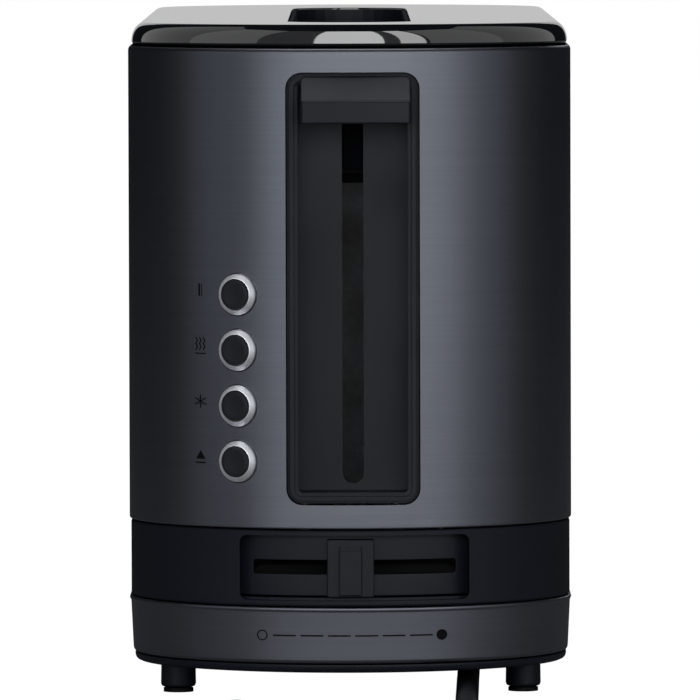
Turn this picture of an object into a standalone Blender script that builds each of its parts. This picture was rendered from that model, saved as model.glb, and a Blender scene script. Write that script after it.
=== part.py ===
"""A pop-up toaster with one long slot, as separate pieces. Metres, +Z up.

The lever end faces -Y and the crumb tray leaves at +Y. The origin is on the floor, under the
middle of the toaster from the front of its lever to its rear.
"""

import math

import bmesh
import bpy
from mathutils import Matrix, Vector

# Clearances
GAP = 0.0003  # between pieces that touch
SEAM = 0.0004  # between the stacked outer casings
RUNNING = 0.0005  # around pieces that slide

# Outer body
BODY_LENGTH = 0.400
BODY_WIDTH = 0.133
END_DEPTH = 0.060  # how far each half-elliptical end reaches
END_STEPS = 24
FOOT_HEIGHT = 0.0101
BOTTOM_THICKNESS = 0.0025
BASE_RING_HEIGHT = 0.0166
BAND_HEIGHT = 0.0225
SHELL_HEIGHT = 0.1420
COVER_HEIGHT = 0.0067
STEEL_WALL = 0.0010
PLASTIC_WALL = 0.0025
BAND_INSET = 0.0005
BASE_TAPER = 0.0010
COVER_ROUND = 0.0042  # how far in from the edge the cover's top is curved
COVER_WALL = 0.0022
COVER_INSET = 0.0010  # from the shell to the cover

# Feet
FOOT_RADIUS = 0.0053
FOOT_X = 0.052
FOOT_FROM_END = 0.062
PAD_RADIUS = 0.0045
PAD_HEIGHT = 0.0012

# Bread slot and chamber
SLOT_WIDTH = 0.034
SLOT_LENGTH = 0.280
SLOT_FROM_FRONT = 0.044
COLLAR_WALL = 0.0012
COLLAR_DEPTH = 0.015
SHEET = 0.0010  # chamber sheet steel
PLATE_HALF_WIDTH = 0.041
BOARD_FROM_PLATE = 0.0118
FLANGE_MARGIN = 0.0020  # of the front plate's flanges beyond the spring
HEATER_X = 0.027
REFLECTOR_X = 0.038
GUIDE_THICKNESS = 0.0016
GUIDE_CLOSES = 0.006  # how far each bread guide moves in
GUIDE_BARS = 14
RACK_WIDTH = 0.019
RACK_THICKNESS = 0.002
RACK_BARS = 12

# Lever and carriage
LEVER_TRAVEL = 0.104
LEVER_REACH = 0.0140  # how far the handle stands in front of the shell
RECESS_X = 0.0009  # of the lever's recess and slot, from the middle
RECESS_WIDTH = 0.0397
RECESS_HEIGHT = 0.1279
RECESS_FROM_SHELL_FOOT = 0.0071
RECESS_CORNER = 0.0048
RECESS_DEPTH = 0.0140
BEZEL_FLANGE = 0.0033
BEZEL_FLANGE_THICKNESS = 0.0020
BEZEL_WALL = 0.0012
BEZEL_PROUD = 0.0005
LEVER_SLOT_WIDTH = 0.0063
HANDLE_X = 0.0018
HANDLE_WIDTH = 0.0325
HANDLE_FACE = 0.0067  # height of the handle's front block
HANDLE_HEIGHT = 0.0137
HANDLE_BELOW_TOP = 0.0011  # from the recess's top edge to the handle's top
ARM_HEIGHT = 0.0090
ARM_THICKNESS = 0.0026
BLOCK_HEIGHT = 0.020
BLOCK_DEPTH = 0.014
BLOCK_HALF_WIDTH = 0.020
ROD_RADIUS = 0.002
ROD_X = 0.014
SPRING_X = 0.026
SPRING_RADIUS = 0.0034
SPRING_WIRE = 0.0004
SPRING_TURNS = 13
EAR_HEIGHT = 0.003
LATCH_THICKNESS = 0.0027
MAGNET_WIDTH = 0.018
MAGNET_DEPTH = 0.008

# Buttons, on the curved front to the left of the lever
BUTTON_X = -0.0333
BUTTON_TOP_Z = 0.1221
BUTTON_PITCH = 0.0165
BUTTON_COUNT = 4
RING_RADIUS = 0.00615
RING_HOLE_RADIUS = 0.00465
RING_PROUD = 0.0016
CAP_RADIUS = 0.00445
CAP_PROUD = 0.0024
BUTTON_TRAVEL = 0.0015

# Browning slider, in the band's front
SLIDER_X = 0.0012  # of the slider's opening, from the middle
SLIDER_WIDTH = 0.0681
SLIDER_HEIGHT = 0.0193
SLIDER_CORNER = 0.0022
SLIDER_FLOOR_INSET = 0.0060
SLIDER_FLOOR_THICKNESS = 0.0015
SLIDER_SLOT_WIDTH = 0.0600
SLIDER_SLOT_HEIGHT = 0.0042
KNOB_WIDTH = 0.0139
KNOB_HEIGHT = 0.0171
KNOB_RIB_WIDTH = 0.0066
KNOB_PROUD = 0.0015
RESISTOR_DEPTH = 0.003

# Crumb tray
TRAY_WIDTH = 0.060
TRAY_HEIGHT = 0.008
TRAY_WALL = 0.0012
TRAY_HANDLE_WIDTH = 0.064
TRAY_HANDLE_HEIGHT = 0.015

# Mains cord
CORD_RADIUS = 0.0034
CORD_PITCH = 0.0069  # between neighbouring turns
COIL_RADIUS = 0.0380  # to the middle of its outer turns
COIL_CENTRE = (-0.0045, -0.387)
COIL_FOOT = 0.0008
COIL_SLACK = 0.0004
TIE_ANGLE = 135.0
TIE_WIDTH = 0.006
TIE_THICKNESS = 0.0006
PLUG_WIDTH = 0.023
PLUG_HEIGHT = 0.014
PLUG_NECK = 0.012
PLUG_BODY = 0.024
BLADE_SPACING = 0.0127
BLADE_THICKNESS = 0.0015
BLADE_HEIGHT = 0.00635
BLADE_LENGTH = 0.016
RELIEF_TAPER = 0.024
RELIEF_BLOCK = 0.016
LEAD_POINTS = (
    (0.0362, -0.0750, 0.0050),
    (0.0361, -0.0900, 0.0046),
    (0.0358, -0.1080, 0.0037),
    (0.0354, -0.1300, 0.0035),
    (0.0350, -0.1550, 0.0035),
    (0.0346, -0.1800, 0.0035),
    (0.0342, -0.2050, 0.0035),
    (0.0339, -0.2350, 0.0035),
    (0.0337, -0.2650, 0.0035),
    (0.0336, -0.2950, 0.0035),
    (0.0335, -0.3250, 0.0037),
    (0.0335, -0.3450, 0.0041),
    (0.0335, -0.3626, 0.0045),
)
TAIL_POINTS = (
    (-0.0286, -0.4250, 0.0114),
    (-0.0370, -0.4243, 0.0109),
    (-0.0465, -0.4209, 0.0102),
    (-0.0545, -0.4150, 0.0093),
    (-0.0600, -0.4070, 0.0085),
    (-0.0625, -0.3985, 0.0078),
    (-0.0628, -0.3900, 0.0073),
)

# Places that follow from the sizes
BODY_Y = LEVER_REACH / 2
FRONT = BODY_Y - BODY_LENGTH / 2
REAR = BODY_Y + BODY_LENGTH / 2
BOTTOM_Z = FOOT_HEIGHT
BASE_Z = BOTTOM_Z + BOTTOM_THICKNESS + SEAM
BAND_Z = BASE_Z + BASE_RING_HEIGHT + SEAM
SHELL_Z = BAND_Z + BAND_HEIGHT + SEAM
COVER_Z = SHELL_Z + SHELL_HEIGHT + SEAM
TOP_Z = COVER_Z + COVER_HEIGHT
FRAME_Z = BAND_Z + GAP
FRAME_TOP = FRAME_Z + 0.002
SLOT_FRONT = FRONT + SLOT_FROM_FRONT
SLOT_REAR = SLOT_FRONT + SLOT_LENGTH
PLATE_FRONT_Y = SLOT_FRONT - COLLAR_WALL - GAP - SHEET
PLATE_REAR_Y = SLOT_REAR + COLLAR_WALL + GAP
PLATE_TOP = COVER_Z - 0.007
RECESS_LOW = SHELL_Z + RECESS_FROM_SHELL_FOOT
RECESS_TOP = RECESS_LOW + RECESS_HEIGHT
HANDLE_TOP = RECESS_TOP - HANDLE_BELOW_TOP
HANDLE_LOW = HANDLE_TOP - HANDLE_HEIGHT
ARM_LOW = HANDLE_LOW + 0.0015
ARM_TOP = ARM_LOW + ARM_HEIGHT
BLOCK_TOP = ARM_TOP - 0.006
BLOCK_LOW = BLOCK_TOP - BLOCK_HEIGHT
RACK_Z = BLOCK_LOW + 0.002
TRAY_Z = FRAME_TOP + 0.0015
GUIDE_X = SLOT_WIDTH / 2 + 0.0004


def outline(inset, z):
    """The body's plan at one height, as points: straight sides with half-elliptical ends."""
    across = BODY_WIDTH / 2 - inset
    depth = END_DEPTH - inset
    straight = BODY_LENGTH / 2 - END_DEPTH
    angles = [math.pi * i / END_STEPS for i in range(END_STEPS + 1)]
    rear = [(across * math.cos(a), straight + depth * math.sin(a)) for a in angles]
    front = [(-across * math.cos(a), -straight - depth * math.sin(a)) for a in angles]
    return [Vector((x, BODY_Y + y, z)) for x, y in rear + front]


def front_y(x, inset=0.0):
    """Where the front of the body is, for a place across it."""
    across = BODY_WIDTH / 2 - inset
    depth = END_DEPTH - inset
    return FRONT + END_DEPTH - depth * math.sqrt(1 - (x / across) ** 2)


def rounded(width, height, radius, steps=5):
    """A rectangle with round corners about the origin, as (u, v) points."""
    points = []
    for quarter, (u, v) in enumerate(((1, 1), (-1, 1), (-1, -1), (1, -1))):
        for step in range(steps + 1):
            angle = math.pi / 2 * (quarter + step / steps)
            points.append(
                (
                    u * (width / 2 - radius) + radius * math.cos(angle),
                    v * (height / 2 - radius) + radius * math.sin(angle),
                )
            )
    return points


def material(name, colour, roughness, metallic=0.0):
    """A Principled material, made once for each name."""
    made = bpy.data.materials.get(name)
    if made is None:
        made = bpy.data.materials.new(name)
        made.use_nodes = True
        shader = made.node_tree.nodes["Principled BSDF"]
        shader.inputs["Base Color"].default_value = (*colour, 1.0)
        shader.inputs["Roughness"].default_value = roughness
        shader.inputs["Metallic"].default_value = metallic
    return made


def gunmetal():
    return material("gunmetal_steel", (0.10, 0.105, 0.12), 0.35, 0.9)


def black_plastic():
    return material("black_plastic", (0.02, 0.021, 0.025), 0.45)


def bright_steel():
    return material("bright_steel", (0.55, 0.55, 0.57), 0.35, 1.0)


def new_object(name, mesh_data, finish):
    thing = bpy.data.objects.new(name, mesh_data)
    bpy.context.scene.collection.objects.link(thing)
    if finish:
        mesh_data.materials.append(finish())
    return thing


def from_bmesh(name, shape, finish, smooth=False):
    """Turns a bmesh into a named object with its faces pointing out."""
    bmesh.ops.recalc_face_normals(shape, faces=shape.faces)
    mesh = bpy.data.meshes.new(name)
    shape.to_mesh(mesh)
    shape.free()
    if smooth:
        mesh.shade_smooth()
        mesh.set_sharp_from_angle(angle=math.radians(35))
    return new_object(name, mesh, finish)


def loft(name, loops, finish, cyclic=False, smooth=True):
    """Skins loops of points in turn. The ends are closed, or joined to each other if cyclic."""
    shape = bmesh.new()
    rows = [[shape.verts.new(p) for p in loop] for loop in loops]
    count = len(rows[0])
    pairs = list(zip(rows, rows[1:]))
    if cyclic:
        pairs.append((rows[-1], rows[0]))
    else:
        shape.faces.new(list(reversed(rows[0])))
        shape.faces.new(rows[-1])
    for low, high in pairs:
        for i in range(count):
            j = (i + 1) % count
            shape.faces.new((low[i], low[j], high[j], high[i]))
    return from_bmesh(name, shape, finish, smooth)


def casing(name, outer, wall, finish):
    """A ring of the body's plan: outer is (inset, z) pairs from bottom to top."""
    inner = max(inset for inset, z in outer) + wall
    loops = [outline(inset, z) for inset, z in outer]
    loops += [outline(inner, outer[-1][1]), outline(inner, outer[0][1])]
    return loft(name, loops, finish, cyclic=True)


def box(name, low, high, finish, edge=0.0):
    """A block between two corners, with its edges rounded if edge is given."""
    shape = bmesh.new()
    bmesh.ops.create_cube(shape, size=1.0)
    for vertex in shape.verts:
        vertex.co = Vector(
            [(low[k] + high[k]) / 2 + vertex.co[k] * (high[k] - low[k]) for k in range(3)]
        )
    thing = from_bmesh(name, shape, finish)
    if edge:
        bevel = thing.modifiers.new("edges", "BEVEL")
        bevel.width = edge
        bevel.segments = 2
    return thing


def along_x(name, profile, low, high, finish, smooth=False):
    """A (y, z) profile drawn out along X."""
    loops = [[Vector((x, y, z)) for y, z in profile] for x in (low, high)]
    return loft(name, loops, finish, smooth=smooth)


def along_y(name, profile, low, high, finish, smooth=False):
    """An (x, z) profile drawn out along Y."""
    loops = [[Vector((x, y, z)) for x, z in profile] for y in (low, high)]
    return loft(name, loops, finish, smooth=smooth)


def turned(name, profile, place, axis, finish, sides=24):
    """A (radius, height) profile turned about an axis through a place.

    A profile that starts and ends at radius 0 is solid, and any other is a ring.
    """
    turn = Vector((0, 0, 1)).rotation_difference(Vector(axis)).to_matrix().to_4x4()
    put = Matrix.Translation(place) @ turn
    solid = profile[0][0] == 0
    circles = []
    for radius, height in profile[1:-1] if solid else profile:
        angles = [math.tau * i / sides for i in range(sides)]
        circles.append(
            [put @ Vector((radius * math.cos(a), radius * math.sin(a), height)) for a in angles]
        )
    return loft(name, circles, finish, cyclic=not solid)


def rod(name, foot, top, radius, finish, sides=16):
    """A plain round bar between two points."""
    length = (Vector(top) - Vector(foot)).length
    axis = (Vector(top) - Vector(foot)).normalized()
    profile = ((0, 0), (radius, 0), (radius, length), (0, length))
    return turned(name, profile, foot, axis, finish, sides)


def lattice(name, across, along, kept, place, thickness, finish):
    """A sheet of square-cut cells with a thickness: kept(i, j) says which cells are there."""
    shape = bmesh.new()
    corners = {}

    def corner(i, j, side):
        key = (i, j, side)
        if key not in corners:
            corners[key] = shape.verts.new(place(across[i], along[j], side * thickness))
        return corners[key]

    def there(i, j):
        return 0 <= i < len(across) - 1 and 0 <= j < len(along) - 1 and kept(i, j)

    for i in range(len(across) - 1):
        for j in range(len(along) - 1):
            if not there(i, j):
                continue
            around = ((i, j), (i + 1, j), (i + 1, j + 1), (i, j + 1))
            shape.faces.new([corner(*c, 0) for c in around])
            shape.faces.new([corner(*c, 1) for c in reversed(around)])
            neighbours = ((i, j - 1), (i + 1, j), (i, j + 1), (i - 1, j))
            for k, cell in enumerate(neighbours):
                if not there(*cell):
                    a, b = around[k], around[(k + 1) % 4]
                    shape.faces.new(
                        (corner(*a, 0), corner(*a, 1), corner(*b, 1), corner(*b, 0))
                    )
    return from_bmesh(name, shape, finish)


def boolean(target, tool, operation):
    """Applies another object's shape to a piece, and leaves that object out of the model."""
    tool.hide_render = True
    tool.display_type = "WIRE"
    modifier = target.modifiers.new(tool.name, "BOOLEAN")
    modifier.operation = operation
    modifier.object = tool


def cut(target, tool):
    boolean(target, tool, "DIFFERENCE")


def front_opening(name, x, width, low, high, corner, deep=0.030):
    """A cutter for a round-cornered opening through the front wall."""
    middle = (low + high) / 2
    profile = [(x + u, middle + v) for u, v in rounded(width, high - low, corner)]
    return along_y(name, profile, FRONT - 0.02, FRONT + deep, None)


def bezel_front():
    """The plane of the lever recess's flange."""
    return front_y(RECESS_WIDTH / 2 + abs(RECESS_X)) - BEZEL_PROUD


def bezel_back():
    return bezel_front() + RECESS_DEPTH + BEZEL_WALL


def block_front():
    return bezel_back() + RUNNING + ARM_THICKNESS + GAP


def rod_y():
    return block_front() + BLOCK_DEPTH / 2


def button_place(index):
    """A button's place on the shell's surface, and its outward direction."""
    y = front_y(BUTTON_X)
    across = BODY_WIDTH / 2
    out = Vector((BUTTON_X / across**2, (y - FRONT - END_DEPTH) / END_DEPTH**2, 0)).normalized()
    return Vector((BUTTON_X, y, BUTTON_TOP_Z - index * BUTTON_PITCH)), out


def body_shell():
    shell = casing(
        "body_shell",
        [(0.0, SHELL_Z), (0.0, SHELL_Z + SHELL_HEIGHT - 0.002), (0.0003, SHELL_Z + SHELL_HEIGHT)],
        STEEL_WALL,
        gunmetal,
    )
    opening = front_opening(
        "recess_cutter", RECESS_X, RECESS_WIDTH, RECESS_LOW, RECESS_TOP, RECESS_CORNER
    )
    cut(shell, opening)
    for index in range(BUTTON_COUNT):
        place, out = button_place(index)
        hole = rod(
            f"button_hole_cutter_{index + 1}",
            place - out * 0.012,
            place + out * 0.012,
            RING_RADIUS + GAP,
            None,
            24,
        )
        cut(shell, hole)


def top_cover():
    """The gloss cover: a hollow lid, curved over its edge, with the bread slot through it."""
    steps = 6
    outer = [(COVER_INSET, COVER_Z)]
    for i in range(steps + 1):
        angle = math.pi / 2 * i / steps
        inset = COVER_INSET + COVER_ROUND * (1 - math.cos(angle))
        outer.append((inset, COVER_Z + 0.001 + (COVER_HEIGHT - 0.001) * math.sin(angle)))
    under = [(COVER_WALL + 0.002, COVER_Z), (COVER_INSET + COVER_ROUND, TOP_Z - COVER_WALL)]
    loops = [outline(i, z) for i, z in reversed(outer)]
    loops += [outline(i, z) for i, z in under]
    lid = loft("top_cover", loops, lambda: material("gloss_black", (0.01, 0.01, 0.012), 0.06))
    clear = COLLAR_WALL + GAP
    slot = slot_loft("slot_cutter", clear, COVER_Z - 0.02, TOP_Z + 0.02, None)
    cut(lid, slot)


def slot_outline(margin, z):
    """The bread slot's plan, larger all round by margin."""
    middle = (SLOT_FRONT + SLOT_REAR) / 2
    width = SLOT_WIDTH + 2 * margin
    length = SLOT_LENGTH + 2 * margin
    return [Vector((u, middle + v, z)) for u, v in rounded(width, length, width * 0.47, 7)]


def slot_loft(name, margin, low, high, finish):
    return loft(name, [slot_outline(margin, low), slot_outline(margin, high)], finish)


def slot_collar():
    """The sleeve that leads the bread from the cover's slot into the chamber."""
    top = TOP_Z - 0.0005
    foot = top - COLLAR_DEPTH
    loops = [
        slot_outline(COLLAR_WALL, foot),
        slot_outline(COLLAR_WALL, top),
        slot_outline(0.0, top),
        slot_outline(0.0, foot),
    ]
    loft("slot_collar", loops, black_plastic, cyclic=True)


def base_band():
    band = casing(
        "base_band",
        [(BAND_INSET, BAND_Z), (BAND_INSET, BAND_Z + BAND_HEIGHT)],
        PLASTIC_WALL,
        black_plastic,
    )
    middle = BAND_Z + BAND_HEIGHT / 2
    low, high = middle - SLIDER_HEIGHT / 2, middle + SLIDER_HEIGHT / 2
    cut(band, front_opening("slider_cutter", SLIDER_X, SLIDER_WIDTH, low, high, SLIDER_CORNER))
    half = TRAY_HANDLE_WIDTH / 2 + GAP
    cutter = box(
        "tray_door_cutter",
        (-half, REAR - END_DEPTH, tray_handle_z() - GAP),
        (half, REAR + 0.02, tray_handle_z() + TRAY_HANDLE_HEIGHT + GAP),
        None,
    )
    cut(band, cutter)


def tray_handle_z():
    return TRAY_Z - 0.001


def base_ring():
    top = BASE_Z + BASE_RING_HEIGHT
    outer = [(0.0001 + BASE_TAPER, BASE_Z), (0.0004, top - 0.0015), (0.0, top - 0.0006), (0.0001, top)]
    casing("base_ring", outer, STEEL_WALL, gunmetal)


def bottom_plate():
    inset = BASE_TAPER + 0.0006
    loops = [
        outline(inset + 0.0014, BOTTOM_Z),
        outline(inset + 0.0003, BOTTOM_Z + 0.0007),
        outline(inset, BOTTOM_Z + BOTTOM_THICKNESS),
    ]
    loft("bottom_plate", loops, black_plastic)


def base_frame():
    """The inner floor that carries the chamber and closes the tray's space below."""
    inset = BAND_INSET + PLASTIC_WALL + 0.0005
    loft("base_frame", [outline(inset, FRAME_Z), outline(inset, FRAME_TOP)], black_plastic)


def feet():
    rubber = lambda: material("foot_rubber", (0.012, 0.012, 0.013), 0.85)
    for end, y in (("front", FRONT + FOOT_FROM_END), ("rear", REAR - FOOT_FROM_END)):
        for side, x in (("left", -FOOT_X), ("right", FOOT_X)):
            foot = (
                (0, PAD_HEIGHT + GAP),
                (FOOT_RADIUS - 0.0004, PAD_HEIGHT + GAP),
                (FOOT_RADIUS, PAD_HEIGHT + GAP + 0.0004),
                (FOOT_RADIUS, BOTTOM_Z - GAP),
                (0, BOTTOM_Z - GAP),
            )
            turned(f"foot_{end}_{side}", foot, (x, y, 0), (0, 0, 1), black_plastic)
            pad = ((0, 0), (PAD_RADIUS, 0), (PAD_RADIUS, PAD_HEIGHT), (0, PAD_HEIGHT))
            turned(f"foot_pad_{end}_{side}", pad, (x, y, 0), (0, 0, 1), rubber)


def lever_bezel():
    """The tray that the lever runs in: a flange, four walls and a slotted floor."""
    middle = (RECESS_LOW + RECESS_TOP) / 2
    front = bezel_front()
    floor = front + RECESS_DEPTH

    def ring(inset, y):
        width = RECESS_WIDTH - 2 * (GAP + inset)
        height = RECESS_HEIGHT - 2 * (GAP + inset)
        corner = max(RECESS_CORNER - GAP - inset, 0.0008)
        return [Vector((RECESS_X + u, y, middle + v)) for u, v in rounded(width, height, corner)]

    side = BEZEL_FLANGE - BEZEL_WALL
    loops = [
        ring(side, bezel_back()),
        ring(side, front + BEZEL_FLANGE_THICKNESS),
        ring(0.0, front + BEZEL_FLANGE_THICKNESS),
        ring(0.0, front),
        ring(BEZEL_FLANGE, front),
        ring(BEZEL_FLANGE, floor),
    ]
    bezel = loft("lever_bezel", loops, black_plastic)
    low, high = lever_slot()
    profile = [
        (RECESS_X + u, (low + high) / 2 + v)
        for u, v in rounded(LEVER_SLOT_WIDTH, high - low, LEVER_SLOT_WIDTH * 0.49)
    ]
    cut(bezel, along_y("lever_slot_cutter", profile, floor - 0.004, bezel_back() + 0.01, None))


def lever_slot():
    """The foot and the top of the slot that the lever's arm runs in."""
    return ARM_LOW - LEVER_TRAVEL - 0.005, ARM_TOP + 0.003


def lever_handle():
    """The finger grip: a block with a sloping top behind a small step."""
    face = FRONT - LEVER_REACH
    back = bezel_front() - RUNNING
    step = HANDLE_LOW + HANDLE_FACE
    profile = [
        (back, HANDLE_LOW),
        (face, HANDLE_LOW),
        (face, step),
        (face + 0.0012, step + 0.0003),
        (face + 0.0012, step + 0.0009),
        (back, HANDLE_TOP),
    ]
    half = HANDLE_WIDTH / 2
    left, right = HANDLE_X - half, HANDLE_X + half
    handle = along_x("lever_handle", profile, left, right, black_plastic)
    bevel = handle.modifiers.new("edges", "BEVEL")
    bevel.width = 0.0004
    bevel.segments = 2


def lever_arm():
    """The arm from the handle through the slot, and down to the carriage block."""
    half = LEVER_SLOT_WIDTH / 2 - RUNNING
    start = bezel_front() - RUNNING + GAP
    back = block_front() - GAP
    front = back - ARM_THICKNESS
    profile = [
        (start, ARM_LOW),
        (front, ARM_LOW),
        (front, BLOCK_LOW + 0.001),
        (back, BLOCK_LOW + 0.001),
        (back, ARM_TOP),
        (start, ARM_TOP),
    ]
    along_x("lever_arm", profile, RECESS_X - half, RECESS_X + half, bright_steel)


def carriage_block():
    """The slider on the two rods, with an ear for the spring."""
    ear = SPRING_X + SPRING_RADIUS + 0.001
    profile = [
        (-BLOCK_HALF_WIDTH, BLOCK_LOW),
        (ear, BLOCK_LOW),
        (ear, BLOCK_LOW + EAR_HEIGHT),
        (BLOCK_HALF_WIDTH, BLOCK_LOW + EAR_HEIGHT),
        (BLOCK_HALF_WIDTH, BLOCK_TOP),
        (-BLOCK_HALF_WIDTH, BLOCK_TOP),
    ]
    front = block_front()
    block = along_y("carriage_block", profile, front, front + BLOCK_DEPTH, black_plastic)
    for side, x in (("left", -ROD_X), ("right", ROD_X)):
        hole = rod(
            f"rod_hole_cutter_{side}",
            (x, rod_y(), BLOCK_LOW - 0.01),
            (x, rod_y(), BLOCK_TOP + 0.01),
            ROD_RADIUS + GAP,
            None,
        )
        cut(block, hole)


def latch_plate():
    """The steel keeper under the block that the electromagnet holds."""
    half = MAGNET_WIDTH / 2
    y = rod_y()
    top = BLOCK_LOW - GAP
    box(
        "latch_plate",
        (-half, y - MAGNET_DEPTH / 2, top - LATCH_THICKNESS),
        (half, y + MAGNET_DEPTH / 2, top),
        bright_steel,
    )


def magnet_top():
    return BLOCK_LOW - GAP - LATCH_THICKNESS - LEVER_TRAVEL - GAP


def electromagnet():
    """An E-shaped core on the chamber plate's foot, and the coil on its middle leg."""
    foot = FRAME_TOP + GAP + SHEET + GAP
    top = magnet_top()
    half = MAGNET_WIDTH / 2
    leg = MAGNET_WIDTH / 6
    yoke = foot + 0.003
    profile = [
        (-half, foot),
        (half, foot),
        (half, top),
        (half - leg, top),
        (half - leg, yoke),
        (leg * 0.7, yoke),
        (leg * 0.7, top),
        (-leg * 0.7, top),
        (-leg * 0.7, yoke),
        (-half + leg, yoke),
        (-half + leg, top),
        (-half, top),
    ]
    y = rod_y()
    core_depth = MAGNET_DEPTH / 2
    along_y("electromagnet_core", profile, y - core_depth, y + core_depth, bright_steel)
    inner = (2 * (leg * 0.7 + GAP), MAGNET_DEPTH + 2 * GAP)
    outer = (2 * (half - leg - GAP), MAGNET_DEPTH + 0.005)

    def ring(size, z, corner):
        return [Vector((u, y + v, z)) for u, v in rounded(*size, corner, 2)]

    low, high = yoke + GAP, top - 0.0008
    loops = [ring(outer, low, 0.001), ring(outer, high, 0.001)]
    loops += [ring(inner, high, 0.0002), ring(inner, low, 0.0002)]
    copper = lambda: material("coil_copper", (0.55, 0.22, 0.09), 0.4, 0.8)
    loft("electromagnet_coil", loops, copper, cyclic=True)


def guide_rods():
    foot = FRAME_TOP + GAP + SHEET + GAP
    for side, x in (("left", -ROD_X), ("right", ROD_X)):
        top = (x, rod_y(), PLATE_TOP - SHEET - GAP)
        rod(f"guide_rod_{side}", (x, rod_y(), foot), top, ROD_RADIUS, bright_steel)


def carriage_spring():
    """The coiled spring that lifts the carriage, from the chamber plate's foot to the ear."""
    low = FRAME_TOP + GAP + SHEET + GAP + SPRING_WIRE
    high = BLOCK_LOW - SPRING_WIRE - GAP
    per_turn = 12
    count = SPRING_TURNS * per_turn
    curve = bpy.data.curves.new("carriage_spring", "CURVE")
    curve.dimensions = "3D"
    curve.bevel_depth = SPRING_WIRE
    curve.bevel_resolution = 1
    curve.render_resolution_u = 0
    curve.use_fill_caps = True
    wire = curve.splines.new("POLY")
    wire.points.add(count)
    for i, point in enumerate(wire.points):
        angle = math.tau * i / per_turn
        x = SPRING_X + SPRING_RADIUS * math.cos(angle)
        y = rod_y() + SPRING_RADIUS * math.sin(angle)
        point.co = (x, y, low + (high - low) * i / count, 1.0)
    new_object("carriage_spring", curve, bright_steel)


def bread_rack():
    """The slotted bar that lifts the bread, and its neck through the chamber's front plate."""
    neck = 0.004
    rail = 0.003
    half = RACK_WIDTH / 2
    across = [-half, -half + rail, -neck, neck, half - rail, half]
    start = SLOT_FRONT + 0.004
    end = SLOT_REAR - 0.004
    bar = 0.003
    pitch = (end - start - bar) / RACK_BARS
    along = [block_front() + BLOCK_DEPTH + GAP]
    for i in range(RACK_BARS + 1):
        along += [start + i * pitch, start + i * pitch + bar]

    def kept(i, j):
        if j == 0:
            return i == 2
        return j % 2 == 1 or i in (0, 4)

    def place(x, y, up):
        return Vector((x, y, RACK_Z + up))

    lattice("bread_rack", across, along, kept, place, RACK_THICKNESS, bright_steel)


def bread_guides():
    """The two wire cages that close on the bread."""
    bar = 0.002
    start, end = SLOT_FRONT + 0.003, SLOT_REAR - 0.003
    low, high = BLOCK_LOW - LEVER_TRAVEL + 0.001, TOP_Z - COLLAR_DEPTH - 0.003
    pitch = (end - start - bar) / GUIDE_BARS
    along = []
    for i in range(GUIDE_BARS + 1):
        along += [start + i * pitch, start + i * pitch + bar]
    up = [low, low + bar, high - bar, high]

    def kept(i, j):
        return i % 2 == 0 or j in (0, 2)

    for name, sign in (("bread_guide_left", -1), ("bread_guide_right", 1)):

        def place(y, z, out, sign=sign):
            return Vector((sign * (GUIDE_X + out), y, z))

        lattice(name, along, up, kept, place, GUIDE_THICKNESS, bright_steel)


def chamber_plates():
    """The chamber's two end plates. The front one has flanges for the rods and a slot."""
    top, foot = PLATE_TOP, FRAME_TOP + GAP
    reach = rod_y() - ROD_RADIUS - 0.0045
    profile = [
        (reach, foot),
        (PLATE_FRONT_Y + SHEET, foot),
        (PLATE_FRONT_Y + SHEET, top),
        (reach, top),
        (reach, top - SHEET),
        (PLATE_FRONT_Y, top - SHEET),
        (PLATE_FRONT_Y, foot + SHEET),
        (reach, foot + SHEET),
    ]
    half = PLATE_HALF_WIDTH
    front = along_x("chamber_front_plate", profile, -half, half, bright_steel)
    low = RACK_Z - LEVER_TRAVEL - 0.002
    high = RACK_Z + RACK_THICKNESS + 0.002
    narrow = SPRING_X + SPRING_RADIUS + FLANGE_MARGIN
    for name, sides in (("left", (-half - 0.01, -narrow)), ("right", (narrow, half + 0.01))):
        near, far = (sides[0], reach - 0.01, foot - 0.01), (sides[1], PLATE_FRONT_Y - 0.004, top + 0.01)
        cut(front, box(f"flange_corner_cutter_{name}", near, far, None))
    y = PLATE_FRONT_Y - 0.004
    cut(front, box("rack_slot_cutter", (-0.005, y, low), (0.005, y + 0.01, high), None))
    rear_y = PLATE_REAR_Y
    half_tray = TRAY_WIDTH / 2 + 0.001
    tray_top = TRAY_Z + TRAY_HEIGHT + 0.001
    profile = [
        (-half, foot),
        (-half_tray, foot),
        (-half_tray, tray_top),
        (half_tray, tray_top),
        (half_tray, foot),
        (half, foot),
        (half, top),
        (-half, top),
    ]
    along_y("chamber_rear_plate", profile, rear_y, rear_y + SHEET, bright_steel)


def heaters_and_reflectors():
    """A mica heater board on each side of the slot, with a bent reflector behind it."""
    front = PLATE_FRONT_Y + SHEET + GAP
    rear = PLATE_REAR_Y - GAP
    low = TRAY_Z + TRAY_HEIGHT + 0.003
    high = PLATE_TOP - 0.001
    mica = lambda: material("mica", (0.62, 0.50, 0.36), 0.6)
    for side, sign in (("left", -1), ("right", 1)):
        sides = sorted((sign * HEATER_X, sign * (HEATER_X + SHEET)))
        box(
            f"heater_board_{side}",
            (sides[0], front, low + 0.003),
            (sides[1], rear, high - 0.006),
            mica,
        )
        back = sign * REFLECTOR_X
        lip = sign * 0.004
        thick = sign * SHEET
        profile = [
            (back, low),
            (back, high),
            (back - lip, high),
            (back - lip, high - SHEET),
            (back - thick, high - SHEET),
            (back - thick, low + SHEET),
            (back - lip, low + SHEET),
            (back - lip, low),
        ]
        along_y(f"reflector_{side}", profile, front, rear, bright_steel)


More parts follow.
